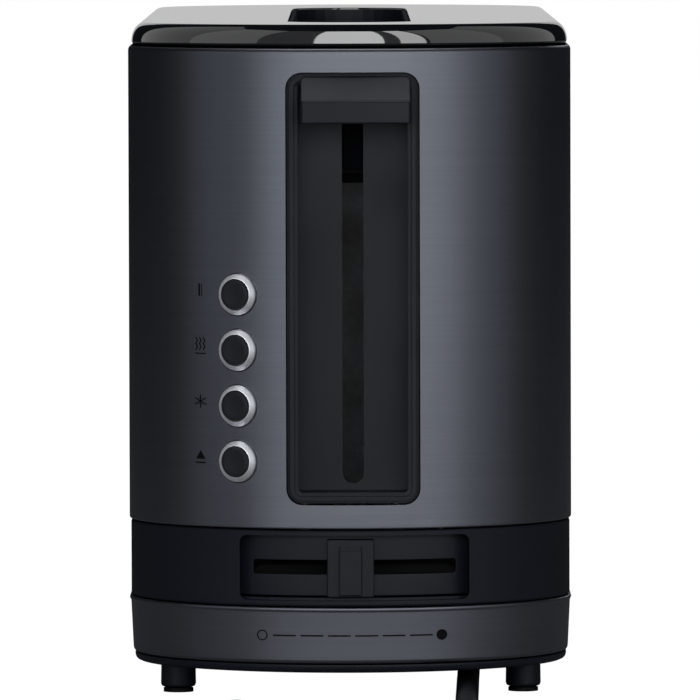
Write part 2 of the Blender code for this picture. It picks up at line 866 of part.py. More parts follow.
def buttons():
    """Four round buttons in raised rings, square to the curved front."""
    satin = lambda: material("satin_silver", (0.50, 0.51, 0.53), 0.3, 0.9)
    for index in range(BUTTON_COUNT):
        place, out = button_place(index)
        ring = (
            (RING_RADIUS, -0.0025),
            (RING_RADIUS, 0.0002),
            (RING_HOLE_RADIUS + 0.0003, RING_PROUD),
            (RING_HOLE_RADIUS, RING_PROUD),
            (RING_HOLE_RADIUS, -0.0025),
        )
        turned(f"button_ring_{index + 1}", ring, place, out, satin, 28)
        cap = (
            (0, -0.0062),
            (0.0015, -0.0062),
            (0.0015, -0.0030),
            (CAP_RADIUS, -0.0030),
            (CAP_RADIUS, CAP_PROUD - 0.0006),
            (CAP_RADIUS - 0.0006, CAP_PROUD),
            (0, CAP_PROUD),
        )
        turned(f"button_cap_{index + 1}", cap, place, out, black_plastic)


def switch_board():
    """The circuit board behind the buttons, with a push switch under each of them."""
    top_place, out = button_place(0)
    side = Vector((-out.y, out.x, 0))
    half = 0.007
    heights = [BUTTON_TOP_Z + 0.008, BUTTON_TOP_Z - (BUTTON_COUNT - 1) * BUTTON_PITCH - 0.008]
    face = -0.0062 - BUTTON_TRAVEL - GAP

    def block(name, low_z, high_z, reach, depth, thickness, finish):
        loops = []
        for level in (depth, depth - thickness):
            corners = []
            for across, z in ((-reach, low_z), (reach, low_z), (reach, high_z), (-reach, high_z)):
                point = top_place + out * level + side * across
                corners.append(Vector((point.x, point.y, z)))
            loops.append(corners)
        return loft(name, loops, finish, smooth=False)

    green = lambda: material("circuit_board", (0.05, 0.18, 0.07), 0.5)
    switch_height = 0.0035
    board_face = face - switch_height
    board = block("switch_board", heights[1], heights[0], half, board_face, 0.0016, green)
    for index in range(BUTTON_COUNT):
        z = BUTTON_TOP_Z - index * BUTTON_PITCH
        switch = block(
            f"switch_tool_{index + 1}", z - 0.003, z + 0.003, 0.003, face, 0.0045, None
        )
        boolean(board, switch, "UNION")


def control_board():
    """The timer board beside the carriage, with its relay and capacitor."""
    y = PLATE_FRONT_Y - BOARD_FROM_PLATE
    green = lambda: material("circuit_board", (0.05, 0.18, 0.07), 0.5)
    low = FRAME_TOP + 0.012
    box("control_board", (0.032, y, low), (0.050, y + 0.0016, low + 0.105), green)
    face = y - GAP
    blue = lambda: material("relay_case", (0.02, 0.06, 0.20), 0.4)
    box("relay", (0.033, face - 0.009, low + 0.015), (0.043, face, low + 0.033), blue)
    can = ((0, 0), (0.004, 0), (0.004, 0.009), (0, 0.009))
    turned("capacitor", can, (0.041, face, low + 0.050), (0, -1, 0), black_plastic, 16)


def slider():
    """The browning slider: its curved floor plate, its knob and the resistor behind."""
    middle = BAND_Z + BAND_HEIGHT / 2
    inset = SLIDER_FLOOR_INSET
    low, high = BAND_Z + 0.0028, BAND_Z + BAND_HEIGHT - 0.0005
    floor = casing(
        "slider_track", [(inset, low), (inset, high)], SLIDER_FLOOR_THICKNESS, black_plastic
    )
    half = SLIDER_WIDTH / 2 + 0.003
    near = (SLIDER_X - half, FRONT - 0.01, low - 0.01)
    keep = box("slider_track_tool", near, (SLIDER_X + half, BODY_Y, high + 0.01), None)
    boolean(floor, keep, "INTERSECT")
    half_slot = SLIDER_SLOT_WIDTH / 2
    half_height = SLIDER_SLOT_HEIGHT / 2
    slot = box(
        "slider_slot_cutter",
        (SLIDER_X - half_slot, FRONT - 0.01, middle - half_height),
        (SLIDER_X + half_slot, FRONT + 0.05, middle + half_height),
        None,
    )
    cut(floor, slot)

    front = FRONT - KNOB_PROUD
    back = FRONT + inset - RUNNING
    wing = KNOB_WIDTH / 2
    rib = KNOB_RIB_WIDTH / 2
    stem = 0.003
    half_pot = half_slot
    pot_front = front_y(half_pot + abs(SLIDER_X), inset + SLIDER_FLOOR_THICKNESS) + GAP
    stem_back = pot_front - GAP
    tall = KNOB_HEIGHT / 2
    thin = half_height - GAP
    plan = [
        (-wing, back),
        (-wing, front + 0.0015),
        (-rib, front + 0.0015),
        (-rib, front),
        (rib, front),
        (rib, front + 0.0015),
        (wing, front + 0.0015),
        (wing, back),
    ]
    loops = [[Vector((x, y, middle + z)) for x, y in plan] for z in (-tall, tall)]
    knob = loft("slider_knob", loops, black_plastic, smooth=False)
    tongue = box(
        "slider_stem_tool",
        (-stem, back - 0.002, middle - thin),
        (stem, stem_back, middle + thin),
        None,
    )
    boolean(knob, tongue, "UNION")
    box(
        "slider_resistor",
        (SLIDER_X - half_pot, pot_front, middle - 0.004),
        (SLIDER_X + half_pot, pot_front + RESISTOR_DEPTH, middle + 0.004),
        bright_steel,
    )


def crumb_tray():
    """A shallow tray under the chamber and the curved handle that closes the band behind it."""
    half = TRAY_WIDTH / 2
    inner_rear = REAR - END_DEPTH + (END_DEPTH - 0.003) * math.sqrt(
        1 - (TRAY_HANDLE_WIDTH / 2 / (BODY_WIDTH / 2 - 0.003)) ** 2
    )
    start, end = SLOT_FRONT + 0.003, inner_rear
    middle = (start + end) / 2

    def ring(inset, z):
        width, length = TRAY_WIDTH - 2 * inset, end - start - 2 * inset
        return [Vector((u, middle + v, z)) for u, v in rounded(width, length, 0.003, 3)]

    top = TRAY_Z + TRAY_HEIGHT
    loops = [
        ring(0.0, TRAY_Z),
        ring(0.0, top),
        ring(TRAY_WALL, top),
        ring(TRAY_WALL, TRAY_Z + TRAY_WALL),
    ]
    loft("crumb_tray", loops, bright_steel)
    half = TRAY_HANDLE_WIDTH / 2
    low = tray_handle_z()
    high = low + TRAY_HANDLE_HEIGHT
    loops = [outline(BAND_INSET, low), outline(BAND_INSET, high)]
    handle = loft("crumb_tray_handle", loops, black_plastic)
    keep = box(
        "tray_handle_tool", (-half, end + GAP, low - 0.01), (half, REAR + 0.01, high + 0.01), None
    )
    boolean(handle, keep, "INTERSECT")
    grip = box("tray_grip_cutter", (-0.016, REAR - 0.006, low - 0.01), (0.016, REAR + 0.01, low + 0.004), None)
    cut(handle, grip)


def smooth_route(points, step):
    """A smooth curve through the points, as points about step apart."""
    route = [Vector(p) for p in points]
    ends = [2 * route[0] - route[1], *route, 2 * route[-1] - route[-2]]
    line = []
    for a, b, c, d in zip(ends, ends[1:], ends[2:], ends[3:]):
        count = max(2, round((c - b).length / step))
        for i in range(count):
            t = i / count
            line.append(
                b
                + (c - a) * (t / 2)
                + (2 * a - 5 * b + 4 * c - d) * (t * t / 2)
                + (3 * b - a - 3 * c + d) * (t**3 / 2)
            )
    return [*line, route[-1]]


def cord_tube(name, points):
    curve = bpy.data.curves.new(name, "CURVE")
    curve.dimensions = "3D"
    curve.bevel_depth = CORD_RADIUS
    curve.bevel_resolution = 3
    curve.render_resolution_u = 0
    curve.use_fill_caps = True
    spline = curve.splines.new("POLY")
    line = smooth_route(points, 0.016)
    spline.points.add(len(line) - 1)
    for point, place in zip(spline.points, line):
        point.co = (*place, 1.0)
    new_object(name, curve, lambda: material("cord_black", (0.02, 0.02, 0.022), 0.5))


def cord_coil():
    """The coiled length: two layers of two turns, as one ring, and the tie around it."""
    inner = COIL_RADIUS - CORD_PITCH - CORD_RADIUS - COIL_SLACK
    outer = COIL_RADIUS + CORD_RADIUS + COIL_SLACK
    top = COIL_FOOT + CORD_PITCH + 2 * CORD_RADIUS + 2 * COIL_SLACK
    edge = 0.002
    profile = (
        (inner, COIL_FOOT),
        (outer - edge, COIL_FOOT),
        (outer, COIL_FOOT + edge),
        (outer, top - edge),
        (outer - edge, top),
        (inner, top),
    )
    turned(
        "cord_coil",
        profile,
        (*COIL_CENTRE, 0),
        (0, 0, 1),
        lambda: material("cord_black", (0.02, 0.02, 0.022), 0.5),
        32,
    )
    angle = math.radians(TIE_ANGLE)
    out = Vector((math.cos(angle), math.sin(angle), 0))
    side = Vector((-out.y, out.x, 0))
    centre = Vector((*COIL_CENTRE, (COIL_FOOT + top) / 2)) + out * (inner + outer) / 2
    clear_width = outer - inner + 4 * GAP
    clear_height = top - COIL_FOOT + 2 * (COIL_FOOT - TIE_THICKNESS)

    def ring(margin, along):
        sizes = (clear_width + 2 * margin, clear_height + 2 * margin)
        return [
            centre + out * u + Vector((0, 0, v)) + side * along
            for u, v in rounded(*sizes, 0.0005 + margin, 3)
        ]

    near, far = -TIE_WIDTH / 2, TIE_WIDTH / 2
    loops = [
        ring(TIE_THICKNESS, near),
        ring(TIE_THICKNESS, far),
        ring(0.0, far),
        ring(0.0, near),
    ]
    loft("cord_tie", loops, black_plastic, cyclic=True)


def strain_relief():
    """The cord's anchor under the bottom plate: a block with a tapered sleeve in front."""
    x, y, z = LEAD_POINTS[0]
    tip = y + GAP
    block = tip + RELIEF_TAPER
    rubber = lambda: material("relief_rubber", (0.015, 0.015, 0.016), 0.6)

    def section(width, height, corner, at):
        return [Vector((x + u, at, z + v)) for u, v in rounded(width, height, corner, 4)]

    slim, thick = 2 * CORD_RADIUS + 0.0012, 2 * (z - GAP)
    loops = [
        section(slim, slim, slim * 0.49, tip),
        section(thick, thick, thick * 0.45, block),
        section(0.0130, thick, 0.0015, block + 0.0005),
        section(0.0130, thick, 0.0015, block + RELIEF_BLOCK),
    ]
    loft("strain_relief", loops, rubber)


def plug():
    """A two-blade plug at the cord's end, lying beside the coil with its blades to +Y."""
    x, y, z = TAIL_POINTS[-1]
    start = y + GAP
    neck_end = start + PLUG_NECK
    body_end = neck_end + PLUG_BODY

    def section(width, height, corner, at):
        return [Vector((x + u, at, z + v)) for u, v in rounded(width, height, corner, 3)]

    loops = [
        section(0.0090, 0.0090, 0.0044, start),
        section(0.0100, 0.0100, 0.0044, neck_end - 0.003),
        section(PLUG_WIDTH - 0.003, PLUG_HEIGHT - 0.002, 0.0040, neck_end + 0.004),
        section(PLUG_WIDTH, PLUG_HEIGHT, 0.0040, neck_end + 0.010),
        section(PLUG_WIDTH, PLUG_HEIGHT, 0.0040, body_end - 0.0015),
        section(PLUG_WIDTH - 0.002, PLUG_HEIGHT - 0.002, 0.0032, body_end),
    ]
    loft("plug_body", loops, black_plastic)
    for side, sign in (("left", -1), ("right", 1)):
        centre = x + sign * BLADE_SPACING / 2
        low = (centre - BLADE_THICKNESS / 2, body_end + GAP, z - BLADE_HEIGHT / 2)
        high = (
            centre + BLADE_THICKNESS / 2,
            body_end + GAP + BLADE_LENGTH,
            z + BLADE_HEIGHT / 2,
        )
        box(f"plug_blade_{side}", low, high, bright_steel, 0.0003)


def main():
    for thing in list(bpy.data.objects):
        bpy.data.objects.remove(thing, do_unlink=True)
    body_shell()
    top_cover()
    slot_collar()
    base_band()
    base_ring()
    bottom_plate()
    base_frame()
    feet()
    lever_bezel()
    lever_handle()
    lever_arm()
    carriage_block()
    latch_plate()
    electromagnet()
    guide_rods()
    carriage_spring()
    bread_rack()
    bread_guides()
    chamber_plates()
    heaters_and_reflectors()
    buttons()
    switch_board()
    control_board()
    slider()
    crumb_tray()
    strain_relief()
    cord_tube("mains_cord", LEAD_POINTS)
    cord_coil()
    cord_tube("plug_cord", TAIL_POINTS)
    plug()


main()
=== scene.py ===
"""A long-slot pop-up toaster, built around its working frame.

Every length is in metres. X runs across the toaster, Y from its lever end to its rear, Z up.
"""

import math

import bmesh
import bpy
from bpy.props import FloatProperty, FloatVectorProperty, IntProperty, PointerProperty
from mathutils import Matrix, Vector


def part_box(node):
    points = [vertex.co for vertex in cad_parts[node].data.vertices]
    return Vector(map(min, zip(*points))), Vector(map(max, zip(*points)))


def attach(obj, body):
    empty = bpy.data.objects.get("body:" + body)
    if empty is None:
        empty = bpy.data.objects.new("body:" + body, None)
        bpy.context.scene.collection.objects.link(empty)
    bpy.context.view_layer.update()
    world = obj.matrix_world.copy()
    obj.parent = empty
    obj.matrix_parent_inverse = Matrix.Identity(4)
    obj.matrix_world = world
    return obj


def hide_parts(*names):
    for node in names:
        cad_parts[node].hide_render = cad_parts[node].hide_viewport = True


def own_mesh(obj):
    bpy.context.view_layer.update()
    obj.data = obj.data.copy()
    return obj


bl_info = {
    "name": "Long-Slot Toaster",
    "version": (1, 0, 0),
    "blender": (4, 5, 0),
    "location": "View3D > Sidebar > Toaster",
    "description": "Builds a pop-up toaster piece by piece around its working frame",
    "category": "Add Mesh",
}

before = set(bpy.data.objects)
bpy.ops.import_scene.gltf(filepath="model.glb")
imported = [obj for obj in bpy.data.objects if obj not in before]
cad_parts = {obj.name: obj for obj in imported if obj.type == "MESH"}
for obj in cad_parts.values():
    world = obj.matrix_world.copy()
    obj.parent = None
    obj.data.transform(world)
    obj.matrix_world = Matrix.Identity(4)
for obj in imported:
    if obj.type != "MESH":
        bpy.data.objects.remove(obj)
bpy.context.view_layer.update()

# Places that come from the frame.
SHELL_LOW, SHELL_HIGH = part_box("body_shell")
COVER_LOW, COVER_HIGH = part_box("top_cover")
BAND_LOW, BAND_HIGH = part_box("base_band")
RING_LOW, RING_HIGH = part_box("base_ring")
PLATE_LOW, PLATE_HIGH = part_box("bottom_plate")
BEZEL_LOW, BEZEL_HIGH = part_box("lever_bezel")
GRIP_LOW, GRIP_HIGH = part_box("lever_handle")
KNOB_LOW, KNOB_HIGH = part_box("slider_knob")
DOOR_LOW, DOOR_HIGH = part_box("crumb_tray_handle")
COLLAR_LOW, COLLAR_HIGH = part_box("slot_collar")
HALF_WIDTH = SHELL_HIGH.x
FRONT = SHELL_LOW.y
REAR = SHELL_HIGH.y
MIDDLE_Y = (FRONT + REAR) / 2
PLAN_POINTS = 240
FINE = 0.0003  # clearance between pieces that touch


def linear(code):
    """A linear RGBA colour from an sRGB hex value."""
    parts = [int(code[i : i + 2], 16) / 255 for i in (0, 2, 4)]
    return tuple(c / 12.92 if c <= 0.04045 else ((c + 0.055) / 1.055) ** 2.4 for c in parts) + (1.0,)


# Sizes and colours that a user may change.


def length(name, note, value):
    return FloatProperty(name=name, description=note, default=value, unit="LENGTH", precision=5)


def colour(name, note, code):
    return FloatVectorProperty(
        name=name, description=note, default=linear(code), size=4, subtype="COLOR", min=0, max=1
    )


class ToasterCasingSizes(bpy.types.PropertyGroup):
    end_depth: length("End depth", "How far each half-elliptical end reaches", 0.060)
    steel_wall: length("Steel wall", "Thickness of the outer steel", 0.0010)
    band_wall: length("Band wall", "Thickness of the black band", 0.0025)
    band_inset: length("Band inset", "How far the black band stands in", 0.0005)
    ring_taper: length("Ring taper", "How much the base ring narrows to its foot", 0.0010)
    cover_round: length("Cover rounding", "How far in the cover's top edge is curved", 0.0042)
    cover_inset: length("Cover inset", "How far the cover stands in", 0.0010)
    slot_width: length("Slot width", "Width of the bread slot", 0.034)
    slot_length: length("Slot length", "Length of the bread slot", 0.280)
    slot_front: length("Slot front", "From the lever end to the bread slot", 0.044)


class ToasterLeverSizes(bpy.types.PropertyGroup):
    recess_x: length("Recess place", "Middle of the lever recess across", 0.0009)
    recess_width: length("Recess width", "Width of the lever recess", 0.0397)
    recess_low: length("Recess foot", "Height of the recess's lower edge", 0.0600)
    recess_high: length("Recess top", "Height of the recess's upper edge", 0.1879)
    recess_corner: length("Recess corner", "Radius of the recess's corners", 0.0048)
    recess_depth: length("Recess depth", "Depth of the recess behind its rim", 0.0140)
    rim: length("Rim width", "Width of the rim around the recess", 0.0033)
    slot_width: length("Arm slot width", "Width of the slot in the recess's floor", 0.0063)
    grip_face: length("Grip face", "Height of the grip's front block", 0.0067)
    travel: length("Travel", "How far the lever goes down", 0.104)


class ToasterButtonSizes(bpy.types.PropertyGroup):
    place_x: length("Place across", "Where the buttons' row stands across the shell", -0.0333)
    top_z: length("Top button", "Height of the top button", 0.1221)
    pitch: length("Pitch", "Distance from button to button", 0.0165)
    count: IntProperty(name="Count", description="Number of buttons", default=4, min=1, max=6)
    ring_radius: length("Ring radius", "Outer radius of the silver ring", 0.00615)
    hole_radius: length("Ring hole radius", "Inner radius of the silver ring", 0.00465)
    ring_proud: length("Ring height", "How far the ring stands out", 0.0016)
    cap_radius: length("Cap radius", "Radius of the button's cap", 0.00445)
    cap_proud: length("Cap height", "How far the cap stands out", 0.0024)


class ToasterSliderSizes(bpy.types.PropertyGroup):
    place_x: length("Place across", "Middle of the slider's opening", 0.0012)
    width: length("Opening width", "Width of the slider's opening", 0.0681)
    height: length("Opening height", "Height of the slider's opening", 0.0193)
    corner: length("Opening corner", "Radius of the opening's corners", 0.0022)
    floor_inset: length("Floor depth", "How far behind the band the slider's floor is", 0.0060)
    floor_wall: length("Floor wall", "Thickness of the slider's floor", 0.0015)
    slot_width: length("Slot width", "Length of the slot the knob runs in", 0.0600)
    slot_height: length("Slot height", "Height of the slot the knob runs in", 0.0042)
    rib_width: length("Rib width", "Width of the knob's middle rib", 0.0066)


class ToasterLeadSizes(bpy.types.PropertyGroup):
    radius: length("Lead radius", "Radius of the mains lead", 0.0034)
    coil_radius: length("Coil radius", "To the middle of the coil's outer turns", 0.0380)
    coil_pitch: length("Coil pitch", "Between neighbouring turns", 0.0069)
    coil_x: length("Coil place X", "Middle of the coil across", -0.0045)
    coil_y: length("Coil place Y", "Middle of the coil along", -0.3870)
    low_turns: length("Lower turns", "Height of the lower turns' middle", 0.0046)


class ToasterColours(bpy.types.PropertyGroup):
    steel: colour("Steel", "Black stainless steel of the casing", "9A9DA6")
    gloss: colour("Gloss black", "Cover", "090A0D")
    plastic: colour("Satin black", "Band and controls", "272D39")
    silver: colour("Satin silver", "Button rings", "E6E8EE")
    rubber: colour("Rubber", "Feet and sleeve", "16171B")
    lead: colour("Lead", "Mains lead", "1D1F25")
    print: colour("Printing", "Marks on the steel", "030304")


PROPERTY_GROUPS = {
    "toaster_casing": ToasterCasingSizes,
    "toaster_lever": ToasterLeverSizes,
    "toaster_buttons": ToasterButtonSizes,
    "toaster_slider": ToasterSliderSizes,
    "toaster_lead": ToasterLeadSizes,
    "toaster_colours": ToasterColours,
}


# Bench tools.


def start(primitive, name, **settings):
    """Adds one primitive with nothing else selected, and bakes its place into its mesh."""
    bpy.ops.object.select_all(action="DESELECT")
    getattr(bpy.ops.mesh, f"primitive_{primitive}_add")(**settings)
    piece = bpy.context.object
    piece.name = piece.data.name = name
    bpy.ops.object.transform_apply(location=True, rotation=True, scale=True)
    return piece


def only(*pieces):
    """Selects these pieces and makes the first one active."""
    bpy.ops.object.select_all(action="DESELECT")
    for piece in pieces:
        piece.select_set(True)
    bpy.context.view_layer.objects.active = pieces[0]


def enter(piece):
    only(piece)
    bpy.ops.object.mode_set(mode="EDIT")


def leave():
    bpy.ops.object.mode_set(mode="OBJECT")


def pick(test, kind="VERT"):
    """Selects the vertices, edges or faces that pass the test, in edit mode."""
    bpy.ops.mesh.select_mode(type=kind)
    bpy.ops.mesh.select_all(action="DESELECT")
    data = bpy.context.object.data
    mesh = bmesh.from_edit_mesh(data)
    mesh.verts.index_update()
    for part in {"VERT": mesh.verts, "EDGE": mesh.edges, "FACE": mesh.faces}[kind]:
        if test(part):
            part.select_set(True)
    mesh.select_flush_mode()
    bmesh.update_edit_mesh(data)


def picked():
    """The indices of the selected vertices."""
    mesh = bmesh.from_edit_mesh(bpy.context.object.data)
    mesh.verts.index_update()
    return {vertex.index for vertex in mesh.verts if vertex.select}


def middle_of(edge):
    return (edge.verts[0].co + edge.verts[1].co) / 2


def runs_along(edge, axis):
    """Whether an edge runs along an axis: 0, 1 or 2."""
    line = (edge.verts[1].co - edge.verts[0].co).normalized()
    return abs(line[axis]) > 0.999


def apply_modifier(piece, kind, **settings):
    only(piece)
    modifier = piece.modifiers.new(kind.lower(), kind)
    for name, value in settings.items():
        setattr(modifier, name, value)
    bpy.ops.object.modifier_apply(modifier=modifier.name)


def cut(piece, cutter, operation="DIFFERENCE"):
    """Cuts a piece with another, which is used up."""
    apply_modifier(piece, "BOOLEAN", object=cutter, operation=operation, solver="EXACT")
    bpy.data.objects.remove(cutter, do_unlink=True)


def join(name, pieces):
    only(*pieces)
    if len(pieces) > 1:
        bpy.ops.object.join()
    pieces[0].name = pieces[0].data.name = name
    return pieces[0]


def aim(piece, place, direction):
    """Turns a piece made upright at the origin to point along direction, at place."""
    turn = Vector(direction).to_track_quat("Z", "Y").to_matrix().to_4x4()
    piece.matrix_world = Matrix.Translation(Vector(place)) @ turn
    only(piece)
    bpy.ops.object.transform_apply(location=True, rotation=True, scale=True)
    return piece


def another(piece, name, shift):
    """A copy with its own mesh, moved by shift."""
    only(piece)
    bpy.ops.object.duplicate(linked=False)
    twin = bpy.context.object
    twin.name = twin.data.name = name
    twin.location = shift
    bpy.ops.object.transform_apply(location=True, rotation=True, scale=True)
    return twin


def block(name, low, high, corner=0.0, axis=1, steps=6):
    """A block with its four edges along one axis rounded."""
    low, high = Vector(low), Vector(high)
    piece = start("cube", name, size=1, location=(low + high) / 2, scale=high - low)
    if corner:
        enter(piece)
        pick(lambda edge: runs_along(edge, axis), "EDGE")
        bpy.ops.mesh.bevel(offset=corner, segments=steps, profile=0.5, affect="EDGES")
        leave()
    return piece


def raised(name, plan, profile, points, ends="capped"):
    """A form raised ring by ring through (inset, height) pairs.

    The plan is (half width, half depth, straight half length, middle). The two ends are
    capped, or bridged to each other so that the profile goes round a wall.
    """
    half_width, half_depth, straight, middle = plan
    turn = math.pi / points
    piece = start("circle", name, vertices=points, radius=1.0, rotation=(0, 0, turn))
    inset, height = profile[0]
    enter(piece)
    bpy.ops.mesh.select_all(action="SELECT")
    size = (half_width - inset, half_depth - inset, 1.0)
    bpy.ops.transform.resize(value=size, center_override=(0, 0, 0))
    bpy.ops.transform.translate(value=(0, middle, height))
    for side in (-1, 1) if straight else ():
        pick(lambda vertex: side * (vertex.co.y - middle) > 0)
        bpy.ops.transform.translate(value=(0, side * straight, 0))
    first = ring = set(range(points))
    for (old, low), (new, high) in zip(profile, profile[1:]):
        pick(lambda edge: all(vertex.index in ring for vertex in edge.verts), "EDGE")
        bpy.ops.mesh.extrude_edges_move(TRANSFORM_OT_translate={"value": (0, 0, high - low)})
        ring = picked()
        scale = ((half_width - new) / (half_width - old), (half_depth - new) / (half_depth - old), 1)
        for side in (-1, 1) if new != old else ():
            pick(lambda vertex: vertex.index in ring and side * (vertex.co.y - middle) > 0)
            centre = (0, middle + side * straight, high)
            bpy.ops.transform.resize(value=scale, center_override=centre)
    last = ring

    def of_ring(edge, which):
        return all(vertex.index in which for vertex in edge.verts)

    if ends == "bridged":
        pick(lambda edge: of_ring(edge, first) or of_ring(edge, last), "EDGE")
        bpy.ops.mesh.bridge_edge_loops()
    else:
        for which in (first, last):
            pick(lambda edge: of_ring(edge, which), "EDGE")
            bpy.ops.mesh.edge_face_add()
    bpy.ops.mesh.select_all(action="SELECT")
    bpy.ops.mesh.normals_make_consistent(inside=False)
    leave()
    return piece


def casing_plan():
    depth = bpy.context.scene.toaster_casing.end_depth
    return (HALF_WIDTH, depth, (REAR - FRONT) / 2 - depth, MIDDLE_Y)


def casing(name, profile, ends="bridged"):
    return raised(name, casing_plan(), profile, PLAN_POINTS, ends)


def front_y(x, inset=0.0):
    """Where the casing's front is, for a place across it."""
    half_width, depth, straight, middle = casing_plan()
    across = half_width - inset
    return middle - straight - (depth - inset) * math.sqrt(1 - (x / across) ** 2)


def round_form(name, profile, place=(0, 0, 0), direction=(0, 0, 1), points=48, ends="capped"):
    """A turned form through (radius, height) pairs, about a direction."""
    widest = max(radius for radius, height in profile)
    steps = [(widest - radius, height) for radius, height in profile]
    piece = raised(name, (widest, widest, 0, 0), steps, points, ends)
    return aim(piece, place, direction)


def settle(piece, body, finish, nodes=(), edge=0.0, steps=2, crease=35.0):
    """Rounds a piece's edges, smooths it, gives it its finish and fixes it to its body."""
    enter(piece)
    bpy.ops.mesh.select_mode(type="VERT")
    bpy.ops.mesh.select_all(action="SELECT")
    bpy.ops.mesh.remove_doubles(threshold=0.000002)
    bpy.ops.mesh.normals_make_consistent(inside=False)
    leave()
    if edge:
        apply_modifier(
            piece,
            "BEVEL",
            width=edge,
            segments=steps,
            limit_method="ANGLE",
            angle_limit=math.radians(crease),
        )
    bpy.ops.object.shade_smooth_by_angle(angle=math.radians(crease))
    apply_modifier(piece, "WEIGHTED_NORMAL", keep_sharp=True)
    piece.data.materials.clear()
    piece.data.materials.append(finish)
    if nodes:
        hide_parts(*nodes)
    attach(piece, body)
    return piece


def light_by_group(piece, name, state):
    """Puts a piece in a group that some lights reach alone, or leave out."""
    group = bpy.data.collections.get(name)
    if group:
        group.objects.link(piece)
        for entry in group.collection_objects:
            entry.light_linking.link_state = state


# Finishes.


def add_node(material, kind, inputs=None, **settings):
    """Adds a node with its settings, and fills or links its inputs."""
    tree = material.node_tree
    node = tree.nodes.new(kind)
    for name, value in settings.items():
        setattr(node, name, value)
    for name, value in (inputs or {}).items():
        if isinstance(value, bpy.types.NodeSocket):
            tree.links.new(value, node.inputs[name])
        else:
            node.inputs[name].default_value = value
    return node


def noise(material, place, scale, detail):
    inputs = {"Vector": place, "Scale": scale, "Detail": detail}
    return add_node(material, "ShaderNodeTexNoise", inputs)


def blend(material, factor, first, second):
    """One colour turning into another."""
    inputs = {"Factor": factor, "A": first, "B": second}
    return add_node(material, "ShaderNodeMix", inputs, data_type="RGBA")


def spread(material, value, low, high, new_low, new_high):
    """Stretches a value's range low to high over new_low to new_high."""
    inputs = {"Value": value, "From Min": low, "From Max": high, "To Min": new_low, "To Max": new_high}
    return add_node(material, "ShaderNodeMapRange", inputs)


def bump(material, height, strength, distance):
    inputs = {"Height": height, "Strength": strength, "Distance": distance}
    return add_node(material, "ShaderNodeBump", inputs)


def new_finish(name):
    """An empty node material with its coordinates in metres."""
    material = bpy.data.materials.new(name)
    material.use_nodes = True
    material.node_tree.nodes.clear()
    place = add_node(material, "ShaderNodeTexCoord").outputs["Object"]
    return material, place


def finish_with(material, **sockets):
    """Adds the shader and the output, with each socket filled or linked."""
    inputs = {name.replace("_", " "): value for name, value in sockets.items()}
    shader = add_node(material, "ShaderNodeBsdfPrincipled", inputs)
    add_node(material, "ShaderNodeOutputMaterial", {"Surface": shader.outputs["BSDF"]})
    return material


def between(code_or_colour, factor):
    """A colour made lighter or darker by a factor."""
    base = linear(code_or_colour) if isinstance(code_or_colour, str) else tuple(code_or_colour)
    return tuple(min(1.0, part * factor) for part in base[:3]) + (1.0,)


def brushed_stainless():
    """Black stainless steel, belt-brushed around the casing: fine level lines."""
    tint = bpy.context.scene.toaster_colours.steel
    material, place = new_finish("black_stainless_steel_brushed")
    # Brushing lines are about 0.1 mm apart; 0.5 mm is the finest that shows.
    lines = add_node(
        material, "ShaderNodeMapping", {"Vector": place, "Scale": (14.0, 14.0, 2000.0)}
    )
    grain = add_node(
        material,
        "ShaderNodeTexNoise",
        {"Vector": lines.outputs["Vector"], "Scale": 1.0, "Detail": 4.0, "Roughness": 0.6},
    )
    cloud = noise(material, place, 18.0, 2.0)
    shade = blend(material, grain.outputs["Fac"], between(tint, 0.88), between(tint, 1.10))
    gloss = spread(material, cloud.outputs["Fac"], 0.3, 0.7, 0.37, 0.41)
    relief = bump(material, grain.outputs["Fac"], 0.12, 0.00003)
    return finish_with(
        material,
        Base_Color=shade.outputs["Result"],
        Metallic=1.0,
        Roughness=gloss.outputs["Result"],
        Normal=relief.outputs["Normal"],
    )


def polished_black():
    """Piano-black ABS, moulded in a polished tool: deep black with mirror reflections."""
    tint = bpy.context.scene.toaster_colours.gloss
    material, place = new_finish("black_abs_polished")
    swirl = add_node(
        material,
        "ShaderNodeTexNoise",
        {"Vector": place, "Scale": 26.0, "Detail": 1.0, "Distortion": 0.4},
    )
    wear = noise(material, place, 420.0, 5.0)
    shade = blend(material, swirl.outputs["Fac"], between(tint, 0.9), between(tint, 1.15))
    gloss = spread(material, wear.outputs["Fac"], 0.45, 0.75, 0.045, 0.08)
    return finish_with(
        material,
        Base_Color=shade.outputs["Result"],
        Roughness=gloss.outputs["Result"],
        IOR=1.6,
        Coat_Weight=1.0,
        Coat_Roughness=0.03,
    )


def satin_abs(name, tint, roughness, grit=0.0006, relief=0.25):
    """Black ABS, moulded in a spark-eroded tool: an even, fine-grained satin."""
    material, place = new_finish(name)
    # Tool grain is about 0.1 mm; it is drawn at grit, the finest that shows.
    grain = add_node(
        material,
        "ShaderNodeTexVoronoi",
        {"Vector": place, "Scale": 1.0 / grit, "Randomness": 1.0},
    )
    cloud = noise(material, place, 45.0, 3.0)
    shade = blend(material, cloud.outputs["Fac"], between(tint, 0.86), between(tint, 1.14))
    gloss = spread(material, cloud.outputs["Fac"], 0.35, 0.65, roughness - 0.03, roughness + 0.04)
    bumps = bump(material, grain.outputs["Distance"], relief, 0.00002)
    return finish_with(
        material,
        Base_Color=shade.outputs["Result"],
        Roughness=gloss.outputs["Result"],
        Normal=bumps.outputs["Normal"],
        IOR=1.5,
    )


